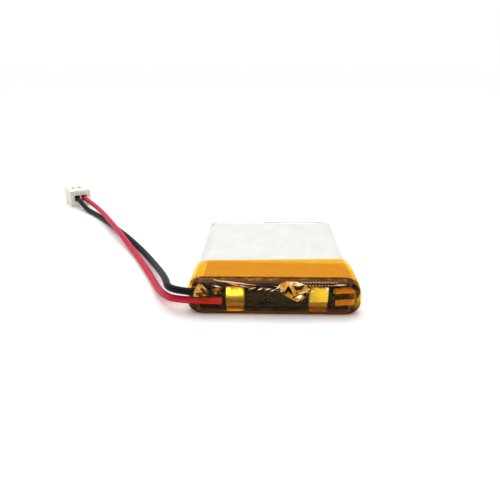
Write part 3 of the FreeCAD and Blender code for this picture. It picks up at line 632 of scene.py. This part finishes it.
def make_lead(colour, route):
    curve = bpy.data.curves.new(f"{colour}_lead_line", "CURVE")
    curve.dimensions = "3D"
    spline = curve.splines.new("NURBS")
    spline.points.add(len(route) - 1)
    for point, place in zip(spline.points, route):
        point.co = (*(Vector(place) * MM), 1.0)
    spline.order_u = 3
    spline.use_endpoint_u = True
    spline.resolution_u = 24
    curve.bevel_depth = LEAD / 2 * MM
    curve.bevel_resolution = 8
    curve.use_fill_caps = True
    curve.materials.append(PAINTS[f"{colour}_insulation"])
    lead = bpy.data.objects.new(f"{colour}_lead_wire", curve)
    bpy.context.scene.collection.objects.link(lead)
    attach(lead, "root")
    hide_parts(f"{colour}_lead")


# ---------------------------------------------------------------- pouch

SHOULDER = -15.2
TAIL = corner("pouch_cup", True).y
UNDERSIDE = 0.11
SHEET = 0.15


def make_cup():
    """The drawn cup: soft corners, a shallow crown and faint dents where the winding presses."""
    # Each key: the place along the pack, the lowest and highest, the half width, and the two radii.
    keys = [
        (SHOULDER + 0.02, 2.90, 3.30, 11.6, 0.1, 0.1),
        (SHOULDER + 0.04, 0.90, 5.35, 13.7, 0.2, 1.8),
        (SHOULDER + 0.20, 0.50, 5.75, 14.1, 0.2, 2.1),
        (SHOULDER + 0.60, 0.30, 5.99, 14.38, 0.2, 2.35),
        (SHOULDER + 1.20, 0.27, 6.04, 14.45, 0.2, 2.4),
        (0.0, 0.27, 6.05, 14.45, 0.2, 2.4),
        (TAIL - 2.00, 0.27, 6.03, 14.45, 0.2, 2.4),
        (TAIL - 0.90, 0.30, 5.85, 14.38, 0.4, 2.4),
        (TAIL - 0.35, 0.60, 5.40, 14.1, 0.6, 2.3),
        (TAIL - 0.08, 1.30, 4.60, 13.4, 1.0, 1.6),
        (TAIL - 0.05, 2.90, 3.30, 12.0, 0.1, 0.1),
    ]
    rings = [[(x, ring[0], z) for x, z in section(*ring[1:])] for ring in between(keys, 0.5)]
    points, faces = loft(rings)
    size = len(rings[0])
    faces += [list(range(size)), [len(points) - size + index for index in range(size)]]
    cup = piece("pouch_cup_skin", points, faces, "pouch_film", stands_for=["pouch_cup"])
    clean(cup)

    def dent(point):
        free = smooth_step(point.z, 0.3, 2.0)
        crown = 0.05 * (1 - (point.x / 15) ** 2) * (1 - ((point.y - 1.4) / 17) ** 2)
        dents = 0.030 * wobble(*point, 9.0, 3.1) + 0.012 * wobble(*point, 2.6, 7.7)
        return free * (crown + dents - 0.07)

    displace(cup, dent)


def make_sheet():
    """The flat half of the film: under the cup, and folded up with the side seals along both sides."""
    out, seal, bend, knee = 14.86, 0.26, 0.7, 1.8
    top = corner("pouch_sheet", True).z

    def ring(y):
        trim = 1.3 * smooth_step(y, TAIL - 1.6, TAIL - 0.3)
        high = [top - trim + 0.07 * wobble(side * 9, y, 0, 3.0, 5.0) for side in (-1, 1)]
        wave = [0.05 * wobble(side * 31, y, 0, 4.0, 2.0) - 0.05 for side in (-1, 1)]
        outer = line((-out, high[0]), (-out - wave[0], knee), 5)
        outer += line((-out - wave[0], knee), (-out, UNDERSIDE + bend), 4)
        outer += arc(bend - out, UNDERSIDE + bend, bend, 180, 270, 6)
        outer += line((bend - out, UNDERSIDE), (out - bend, UNDERSIDE), 40)
        outer += arc(out - bend, UNDERSIDE + bend, bend, -90, 0, 6)
        outer += line((out, UNDERSIDE + bend), (out + wave[1], knee), 4)
        outer += line((out + wave[1], knee), (out, high[1]), 5) + [(out, high[1])]
        inner = []
        for x, z in outer:
            side = math.copysign(1.0, x)
            in_flap = smooth_step(abs(x), out - bend, out - 0.1)
            inner.append((x - side * seal * in_flap, z + SHEET * (1 - in_flap)))
        return [(x, y, z) for x, z in outer + inner[::-1]]

    points, faces = loft([ring(y) for y in steps(SHOULDER + 0.1, TAIL - 0.02, 0.35)])
    size = len(ring(0.0))
    for end in (0, len(points) - size):
        for index in range(size // 2 - 1):
            faces.append((end + index, end + index + 1, end + size - 2 - index, end + size - 1 - index))
    sheet = piece("pouch_sheet_skin", points, faces, "pouch_film", stands_for=["pouch_sheet"])
    sheet.data.materials.append(PAINTS["pouch_seal"])
    for face in sheet.data.polygons:
        if face.center.z > (UNDERSIDE + bend) * MM:
            face.material_index = 1
    sharpen(sheet, 50)


def sharpen(made, degrees):
    """Keep edges sharper than an angle as edges."""
    mesh = bmesh.new()
    mesh.from_mesh(made.data)
    bmesh.ops.recalc_face_normals(mesh, faces=mesh.faces)
    for edge in mesh.edges:
        if len(edge.link_faces) == 2 and edge.calc_face_angle(0.0) > math.radians(degrees):
            edge.smooth = False
    mesh.to_mesh(made.data)
    mesh.free()


def make_head_seal():
    """The sealed head terrace, pressed flat between heated jaws, with its corners cut off."""
    low, high = UNDERSIDE + 0.02, corner("pouch_cup").z + 0.30

    def ring(y):
        away = (SHOULDER - y) / 1.9
        half = 13.4 - 0.9 * smooth_step(away, 0.6, 1.0)
        thin = 0.02 * away
        return [(x, y, z + 0.012 * math.sin(6 * x) * math.sin(6 * y)) for x, z in section(
            low + thin, high - thin, half, 0.1, 0.1, flat=90, turn=2, rise=2)]

    points, faces = loft([ring(y) for y in steps(SHOULDER + 0.15, SHOULDER - 1.88, 0.14)])
    size = len(ring(SHOULDER))
    faces.append(list(range(size)))
    faces.append([len(points) - size + index for index in range(size)][::-1])
    seal = piece("pouch_head_seal", points, faces, "pouch_seal", "pouch_film", stands_for=["pouch_sheet"])
    sharpen(seal, 40)


# ---------------------------------------------------------------- tape

TAPE = 0.08
THIN_FILM = 0.04
# Where the second layer of the tape starts, across the pack.
LAYER_START = -12.2
BAND_TOP = corner("tape_band", True).z - 0.02
BAND_HALF = 14.98
REAR = corner("tape_band", True).y
FRONT = corner("head_tape").y


def make_band():
    """One turn round the head end of the pouch, wound a little askew."""

    def rear_edge(x):
        return REAR - 0.35 + 0.05 * x + 0.06 * wobble(x, 0, 0, 3.0, 8.0)

    rings = []
    for share in steps(0.0, 1.0, 0.025):
        ring = []
        for x, z in section(0.02, BAND_TOP, BAND_HALF, 1.1, 2.5):
            start = SHOULDER - 0.05
            ring.append((x, start + (rear_edge(x) - start) * share, z))
        rings.append(ring)
    band = piece("tape_band_film", *loft(rings), "amber_tape", stands_for=["tape_band"])
    clean(band)

    def wrinkle(point):
        side = smooth_step(abs(point.x), 11.0, 14.0) * smooth_step(point.z, 0.6, 1.6)
        fine = 0.03 * wobble(point.x, point.y * 0.4, point.z, 1.1, 2.0)
        return side * (fine - 0.03) - 0.008 + 0.008 * wobble(*point, 2.4, 6.0)

    displace(band, wrinkle)
    thicken(band, TAPE, film=True)


def make_second_layer():
    """The end of the tape: it starts on top near the left edge and goes over the right side."""
    turn = 2.5
    path = line((LAYER_START, BAND_TOP), (BAND_HALF - turn, BAND_TOP), 70)
    path += arc(BAND_HALF - turn, BAND_TOP - turn, turn, 90, 0, 14)
    path += line((BAND_HALF, BAND_TOP - turn), (BAND_HALF, 0.9), 10)
    rings = []
    for share in steps(0.0, 1.0, 0.03):
        ring = []
        for x, z in path:
            drop = BAND_TOP - z
            askew = 0.028 * (x - LAYER_START) + 0.25 * drop
            end = REAR - 1.10 - askew + 0.05 * wobble(x, z, 0, 2.2, 4.0)
            ring.append((x, SHOULDER - 0.05 + (end - SHOULDER) * share, z))
        rings.append(ring)
    layer = piece("tape_second_layer_film", *loft(rings, False), "amber_tape",
                  stands_for=["tape_second_layer"])
    clean(layer)

    def lie(point):
        lifted = 0.05 * smooth_step(-point.x, -LAYER_START - 0.5, -LAYER_START)
        return 0.045 + lifted + 0.012 * wobble(*point, 2.8, 9.0)

    displace(layer, lie)
    if layer.data.vertices[0].normal.z < 0:
        layer.data.flip_normals()
    thicken(layer, THIN_FILM, film=True)


# The film over the head, from the shoulder to the front: the place along the pack, the lowest and highest,
# the half width, and the two radii.
HEAD_KEYS = [
    (SHOULDER + 0.15, 0.02, BAND_TOP + 0.01, 15.02, 1.2, 2.5),
    (-15.6, 0.02, 6.13, 15.02, 1.6, 2.5),
    (-16.4, 0.03, 5.97, 14.98, 2.1, 2.5),
    (-17.0, 0.10, 5.52, 14.85, 2.4, 2.4),
    (-17.4, 0.28, 4.98, 14.60, 2.4, 2.2),
    (-17.56, 0.60, 4.50, 14.30, 2.2, 1.9),
    (-17.62, 1.00, 4.00, 13.90, 1.4, 1.4),
    (-17.64, 1.90, 3.20, 13.10, 0.6, 0.6),
    (-17.65, 2.50, 2.60, 12.50, 0.04, 0.04),
]
# Long creases in the film over the board: where each starts and ends, its width and its height.
CREASES = [
    ((-10.3, 5.98), (-3.0, 5.35), 0.10, 0.10),
    ((-8.0, 5.62), (-3.7, 5.02), 0.10, 0.12),
    ((-12.4, 5.55), (-9.6, 4.90), 0.12, 0.12),
    ((-9.8, 5.20), (-8.5, 5.05), 0.10, 0.10),
    ((-4.4, 4.70), (-2.6, 4.95), 0.10, 0.12),
    ((-2.4, 4.55), (-0.9, 4.95), 0.10, 0.12),
    ((-0.9, 4.40), (0.6, 4.80), 0.10, 0.12),
    ((6.8, 5.00), (9.9, 5.20), 0.12, 0.10),
    ((7.0, 4.60), (6.4, 2.10), 0.14, 0.08),
    ((9.9, 5.30), (13.6, 4.90), 0.12, 0.14),
    ((10.1, 4.35), (13.8, 4.30), 0.14, 0.12),
    ((10.2, 3.30), (13.9, 3.35), 0.16, 0.10),
    ((12.4, 6.00), (14.3, 3.90), 0.16, 0.14),
]
# The heights of two rows of small pleats under the shoulder.
PLEATED_HEIGHTS = (5.42, 5.80)
LEAD_LEVELS = (RED_LEVEL, BLACK_LEVEL)
HEAD_LOW, HEAD_HIGH = (-15.07, FRONT + 0.01, 0.01), (15.07, 0.0, 6.23)


def head_shape(point):
    """How far the film over the head stands off its plain shape."""
    x, y, z = point
    front = smooth_step(SHOULDER - y, 0.3, 1.6)
    upper = smooth_step(z, 3.6, 4.6) * (1 - smooth_step(z, 5.9, 6.1))
    raised = 0.0
    for start, end, width, height in CREASES:
        away, share = to_segment((x, z), start, end)
        raised += height * math.exp(-((away / width) ** 2)) * (0.55 + 0.45 * math.sin(math.pi * share))
    for level in LEAD_LEVELS:
        over_lead = math.exp(-(((z - level) / 0.62) ** 2)) * smooth_step(-x, 8.2, 11.0)
        raised += 0.22 * over_lead * smooth_step(-y, 17.2, 17.5)
    pleats = math.sin(x * 12.5 + 2 * wobble(x, z, 0, 1.5, 3.0))
    in_rows = max(math.exp(-(((z - row) / 0.16) ** 2)) for row in PLEATED_HEIGHTS)
    raised += 0.05 * pleats * in_rows * smooth_step(x, 4.2, 4.8) * (1 - smooth_step(x, 9.6, 10.4))
    raised += 0.10 * upper * wobble(x * 1.1 + z * 0.7, 0, z * 1.8, 0.75, 1.3)
    raised += 0.03 * wobble(x, y, z, 1.9, 4.1)
    sag = smooth_step(z, 5.3, 5.9) * (0.10 * wobble(x, 0, 0, 3.5, 2.7) - 0.12)
    return front * raised + sag


def make_head_tape():
    """The film over the circuit, wrinkled where it bends down from the shoulder."""
    rings = []
    for y, *outline in between(HEAD_KEYS, 0.11):
        rings.append([(x, y, z) for x, z in section(*outline, flat=230, turn=16, rise=14)])
    points, faces = loft(rings)

    def off_the_leads(face):
        middle = sum((Vector(points[number]) for number in face), Vector()) / len(face)
        near = min(math.hypot(middle.y - LEAD_LINE, middle.z - level) for level in LEAD_LEVELS)
        between_leads = abs(middle.y - LEAD_LINE) < 0.35 and LEAD_LEVELS[0] < middle.z < LEAD_LEVELS[1]
        return middle.x > -13.0 or (near > 0.80 and not between_leads)

    # The plain film is left out behind the big fold, but for a narrow border.
    inward, centre = 0.04, Vector((3.1, 4.6))
    edge = [Vector((x, z)).lerp(centre, inward) for x, z, out in BIG_FOLD[:BIG_FOLD_EDGE]]

    def under_the_fold(face):
        middle = sum((Vector(points[number]) for number in face), Vector()) / len(face)
        if middle.y > -16.6:
            return False
        crossings = 0
        for (ax, az), (bx, bz) in zip(edge, edge[1:] + edge[:1]):
            if (az > middle.z) != (bz > middle.z):
                crossings += middle.x < ax + (middle.z - az) / (bz - az) * (bx - ax)
        return crossings % 2 == 1

    faces = [face for face in faces if off_the_leads(face) and not under_the_fold(face)]
    tape = piece("head_tape_film", points, faces, "amber_head", "amber_tape", stands_for=["head_tape"])
    clean(tape)
    displace(tape, head_shape)
    keep_inside(tape, HEAD_LOW, HEAD_HIGH)
    thicken(tape, TAPE * 0.8, film=True)


HEAD_PROFILE = [(ring[0], ring[2]) for ring in between(HEAD_KEYS, 0.1)]


def on_head(x, z, out):
    """A point that stands off the film over the head, at a place across it and a height."""
    for (near_y, near_z), (far_y, far_z) in zip(HEAD_PROFILE, HEAD_PROFILE[1:]):
        if far_z <= z <= near_z:
            share = (near_z - z) / max(near_z - far_z, 1e-9)
            slope = Vector((0, far_z - near_z, near_y - far_y)).normalized()
            base = Vector((x, near_y + (far_y - near_y) * share, z))
            return base - Vector((0, abs(slope.y), -abs(slope.z))) * out
    return Vector((x, HEAD_PROFILE[-1][0] - out, z))


# Folded film that stands off the head's front: corners across it, up it and out from it. The first
# BIG_FOLD_EDGE corners of the big fold go round its edge.
BIG_FOLD = [
    (0.15, 4.85, 0.02), (1.0, 5.60, 0.02), (2.2, 5.95, 0.02), (3.6, 5.90, 0.02), (5.2, 5.55, 0.02),
    (6.2, 4.90, 0.02), (6.0, 4.10, 0.02), (5.2, 3.45, 0.10), (3.95, 2.80, 0.30), (2.9, 3.25, 0.20),
    (1.7, 3.95, 0.20), (0.8, 4.40, 0.12),
    (0.9, 5.05, 0.30), (1.55, 5.25, -0.35), (1.75, 4.60, 0.32), (2.35, 5.35, 0.30), (2.45, 4.35, -0.45),
    (2.85, 4.85, 0.33), (3.15, 5.45, -0.30), (3.2, 3.85, 0.33), (3.75, 4.60, -0.50), (3.9, 5.25, 0.30),
    (3.85, 3.55, -0.20), (4.35, 4.15, 0.33), (4.7, 4.85, -0.40), (4.9, 3.85, -0.30), (5.3, 4.45, 0.30),
]
BIG_FOLD_EDGE = 12
ENTRY_FOLD = [
    (-13.7, 4.10, 0.05), (-13.3, 5.00, 0.12), (-12.7, 5.55, 0.10), (-12.2, 5.05, 0.30), (-11.5, 4.55, 0.26),
    (-11.0, 3.75, 0.20), (-11.5, 3.65, 0.05), (-12.1, 4.35, 0.05), (-12.6, 4.75, 0.02), (-13.1, 4.20, 0.28),
    (-13.4, 3.45, 0.22), (-13.8, 3.40, 0.05),
]
# Facets that face up more than this get the bright gold paint, a painted highlight, and the others the deep
# tint, painted shade over the dark board behind.
PAINTED_LIGHT_ABOVE = 0.12


def make_fold(name, corners):
    """Crumpled film: flat facets between a few corners, each a little curved."""
    plan = [Vector((x, z)) for x, z, out in corners]
    net = geometry.delaunay_2d_cdt(plan, [], [], 0, 1e-6)
    flat, faces, sources = net[0], net[2], net[3]
    outs = [corners[source[0]][2] for source in sources]
    standing = [on_head(point.x, point.y, out) for point, out in zip(flat, outs)]
    fold = piece(name, standing, [list(face) for face in faces], "amber_crease", "amber_tape",
                 smooth=False, stands_for=["head_tape"])
    mesh = bmesh.new()
    mesh.from_mesh(fold.data)
    bmesh.ops.subdivide_edges(mesh, edges=mesh.edges, cuts=5, use_grid_fill=True)
    for vertex in mesh.verts:
        vertex.co.y += 0.035 * MM * wobble(*(vertex.co / MM), 0.6, 2.2)
        vertex.co.y = max(vertex.co.y, (FRONT + 0.01) * MM)
    bmesh.ops.recalc_face_normals(mesh, faces=mesh.faces)
    mesh.to_mesh(fold.data)
    mesh.free()
    if sum(face.normal.y for face in fold.data.polygons) > 0:
        fold.data.flip_normals()
    fold.data.materials.append(PAINTS["amber_fold_shade"])
    # Painted light and shade: facets facing up get the bright gold paint, the others the deep tint.
    for face in fold.data.polygons:
        face.material_index = 0 if face.normal.z > PAINTED_LIGHT_ABOVE else 1
    thicken(fold, THIN_FILM)


# Sharp ridges in the film over the head: where each starts and ends, across and up it, and its half width.
RIDGES = [
    ((-10.3, 5.98), (-3.1, 5.38), 0.09),
    ((-7.9, 5.60), (-4.0, 5.08), 0.08),
    ((-10.5, 5.28), (-8.9, 5.08), 0.11),
    ((-9.9, 4.98), (-9.2, 4.62), 0.09),
    ((-4.4, 4.82), (-3.1, 5.10), 0.10),
    ((-2.9, 4.68), (-1.9, 5.00), 0.10),
    ((-1.6, 4.74), (-0.5, 4.95), 0.09),
    ((-0.7, 4.48), (0.2, 4.78), 0.09),
    ((5.9, 4.35), (6.9, 4.75), 0.08),
    ((9.9, 5.45), (12.2, 5.55), 0.09),
    ((-12.9, 4.30), (-12.3, 5.45), 0.12),
    ((-12.3, 5.45), (-11.3, 4.20), 0.12),
]
# Two rows of small pleats: each row's height, and the places of its first and last pleat.
PLEAT_ROWS = [(5.76, 4.6, 10.4), (5.38, 5.4, 10.0)]
PLEAT_SPACING = 0.52


def make_ridges():
    """Sharp creases where the film is bent down from the shoulder, with a pale gold painted highlight along
    them besides their own gloss.
    """
    lines = list(RIDGES)
    for height, first, last in PLEAT_ROWS:
        for x in steps(first, last, PLEAT_SPACING):
            rise = 0.06 * wobble(x, height, 0, 0.8, 5.0)
            lines.append(((x, height + rise), (x + 0.30, height + rise + 0.05), 0.07))
    foot, crest = 0.04, 0.17
    points, faces = [], []
    for start, end, half in lines:
        way = Vector(end) - Vector(start)
        across = Vector((-way.y, way.x)).normalized() * half
        count = max(3, math.ceil(way.length / 0.15))
        for index in range(count + 1):
            share = index / count
            taper = 0.25 + 0.75 * math.sin(math.pi * share)
            at = Vector(start) + way * share
            at.y += 0.03 * wobble(at.x, at.y, 0, 0.7, 9.0)
            for side, out in ((-1, foot), (0, crest), (1, foot)):
                place = at + across * side * taper
                points.append(on_head(place.x, place.y, out))
            if index:
                here = len(points) - 6
                faces += [(here, here + 1, here + 4, here + 3), (here + 1, here + 2, here + 5, here + 4)]
    ridges = piece("head_creases", points, faces, "amber_ridge_highlight", "amber_tape", smooth=False,
                   stands_for=["head_tape"])
    keep_inside(ridges, HEAD_LOW, HEAD_HIGH)
    thicken(ridges, 0.03, offset=0.0)


# The fold at the right end of the head: its extent across and up, the height of a pleat, and the share of a
# pleat where the gap to the next one, painted in shade, starts.
END_FOLD_LEFT, END_FOLD_RIGHT = 10.4, 13.7
END_FOLD_FOOT, END_FOLD_TOP = 1.9, 5.2
END_PLEAT = 1.12
END_GAP = 0.84


def along_pleats(x, z):
    """How many pleats of the end fold lie below a place on it."""
    return (z - END_FOLD_FOOT + 0.10 * math.sin(x * 1.4)) / END_PLEAT


def make_end_fold():
    """Film tucked into the right end of the head in three flat pleats, one over the next."""
    rings = []
    for x in steps(END_FOLD_LEFT, END_FOLD_RIGHT, 0.12):
        ring = []
        for z in steps(END_FOLD_FOOT, END_FOLD_TOP, 0.07):
            round_off = 0.9 * smooth_step(x, 12.4, 14.1) ** 2
            along = along_pleats(x, z)
            pleat = 0.52 * (along % 1.0) - 0.30 * smooth_step(along % 1.0, 0.82, 1.0)
            ring.append((x, -17.52 + round_off + pleat + 0.03 * wobble(x, 0, z, 0.7, 6.0), z))
        rings.append(ring)
    fold = piece("head_end_fold", *loft(rings, False), "amber_crease", "amber_tape",
                 stands_for=["head_tape"])
    fold.data.materials.append(PAINTS["amber_fold_shade"])
    fold.data.materials.append(PAINTS["amber_gathered"])
    # Painted light and shade on the pleats: a bright painted highlight on the lower and upper pleats, a
    # darker painted band on the middle one, and near-black painted shade in the gaps.
    for face in fold.data.polygons:
        along = along_pleats(face.center.x / MM, face.center.z / MM)
        in_gap = along % 1.0 > END_GAP
        face.material_index = 2 if in_gap else (1 if 1.0 < along < 2.0 else 0)
    thicken(fold, THIN_FILM)


# The gathered edge of the film round the right end of the head, where a strip of painted shade runs, as
# places across it and up it.
CORNER_LINE = [(12.4, 5.90), (13.3, 5.50), (13.95, 4.85), (14.25, 4.10), (14.20, 3.30)]


def make_corner_fold_shade():
    """A narrow pleat where the film is gathered round the right end of the head, painted near black:
    painted shade for the gap there.
    """
    middle = between(CORNER_LINE, 0.08)
    rings = []
    for index, (x, z) in enumerate(middle):
        share = index / (len(middle) - 1)
        width = 0.42 * math.sin(math.pi * share) ** 0.6
        ahead = middle[min(index + 1, len(middle) - 1)]
        behind = middle[max(index - 1, 0)]
        across = Vector((ahead[1] - behind[1], behind[0] - ahead[0])).normalized()
        ring = []
        for side in steps(-1.0, 1.0, 0.2):
            at = Vector((x, z)) + across * side * width
            round_off = 1.35 * smooth_step(at.x, 12.2, 15.0) ** 2
            place = on_head(at.x, at.y, 0.10 * (1 - side * side))
            ring.append((place.x, max(place.y + round_off * 0.5, FRONT + 0.02), place.z))
        rings.append(ring)
    fold = piece("head_corner_fold_shade", *loft(rings, False), "amber_gathered", "amber_tape",
                 stands_for=["head_tape"])
    thicken(fold, THIN_FILM, offset=0.0)


# ---------------------------------------------------------------- cell tabs

TAB_HALF = 1.56
TAB_WALL = 0.10
TAB_FRONT = -17.44
TAB_BEND_LINE = -17.42
# The lower end of a tab, from the head seal up to the plate's foot, as places along the pack and up.
TAB_PROFILE = [
    (-17.10, 0.42), (-17.16, 0.52), (-16.80, 0.75), (-16.66, 1.20), (-16.64, 1.80), (-16.80, 2.15),
]
# Spot welds: how far they are from the middle of the tab, above its bend, their depth and their size.
WELDS_ACROSS = (-0.45, 0.45)
WELDS_ABOVE = (0.45, 0.95)
WELD_DEPTH, WELD_SIZE = 0.06, 0.16


def make_tab(label, middle, bend, top, lean, twist):
    """A tab welded to its plate: up from the seal, out over the plate's foot, and back above the bend.

    Its top leans back. A twist above zero turns its right edge back and its left edge out, and one below
    zero does the opposite.
    """
    profile = TAB_PROFILE + [(-17.36, bend - 0.35), (TAB_FRONT, bend - 0.12), (TAB_FRONT, bend)]
    profile += [(TAB_BEND_LINE + lean * 0.45, (bend + top) / 2), (TAB_BEND_LINE + lean, top)]
    rings = []
    for y, z in between(profile, 0.12):
        ring = []
        for x in steps(-TAB_HALF, TAB_HALF, 0.12):
            curl = 0.05 * (x / TAB_HALF) ** 4 + 0.02 * wobble(middle + x, y, z, 0.9, 3.3)
            turned = twist * smooth_step(z, 2.0, top) * (x / TAB_HALF)
            weld = 0.0
            for across in WELDS_ACROSS:
                for above in WELDS_ABOVE:
                    away = math.hypot(x - across, z - bend - above)
                    weld += WELD_DEPTH * math.exp(-((away / WELD_SIZE) ** 2))
            ring.append((middle + x, max(y + curl + turned + weld, -17.56), z))
        rings.append(ring)
    tab = piece(f"{label}_strip", *loft(rings, False), "nickel", "aluminium_tab", stands_for=[label])
    thicken(tab, TAB_WALL)


# ---------------------------------------------------------------- floor

# In metres; the floor lies a hair below the pack, so that the two don't share a plane.
FLOOR_HALF = 20.0
FLOOR_LEVEL = -0.00002


def make_floor():
    paint = Paint("floor")
    paint.set(Roughness=0.7, Specular_IOR_Level=0.1)
    cloud = paint.noise((0.05, 0.05, 0.05), 3)
    paint.colour(paint.ramp(cloud, [(0.3, (0.975, 0.972, 0.965)), (0.7, (0.99, 0.988, 0.98))]))
    mesh = bpy.data.meshes.new("floor")
    signs = ((-1, -1), (1, -1), (1, 1), (-1, 1))
    mesh.from_pydata([(x * FLOOR_HALF, y * FLOOR_HALF, 0) for x, y in signs], [], [(0, 1, 2, 3)])
    mesh.materials.append(paint.material)
    floor = bpy.data.objects.new("floor", mesh)
    floor.location.z = FLOOR_LEVEL
    bpy.context.scene.collection.objects.link(floor)


def paint_cad_nodes():
    """Give every CAD node that stays in view the paint of its slot."""
    for part in frame["record"]["subparts"]:
        material = frame["nodes"][part["node"]].data.materials
        material.clear()
        material.append(PAINTS[part["material_slot"]])


make_camera()
make_light()
make_floor()
paint_cad_nodes()
make_lead("red", RED_ROUTE)
make_lead("black", BLACK_ROUTE)
make_cup()
make_sheet()
make_head_seal()
make_band()
make_second_layer()
make_head_tape()
make_fold("head_big_fold", BIG_FOLD)
make_fold("lead_entry_fold", ENTRY_FOLD)
make_end_fold()
make_corner_fold_shade()
make_ridges()
make_tab("anode_tab", middle=-6.70, bend=3.60, top=4.95, lean=0.86, twist=0.0)
make_tab("cathode_tab", middle=7.60, bend=2.60, top=5.20, lean=0.22, twist=-0.30)
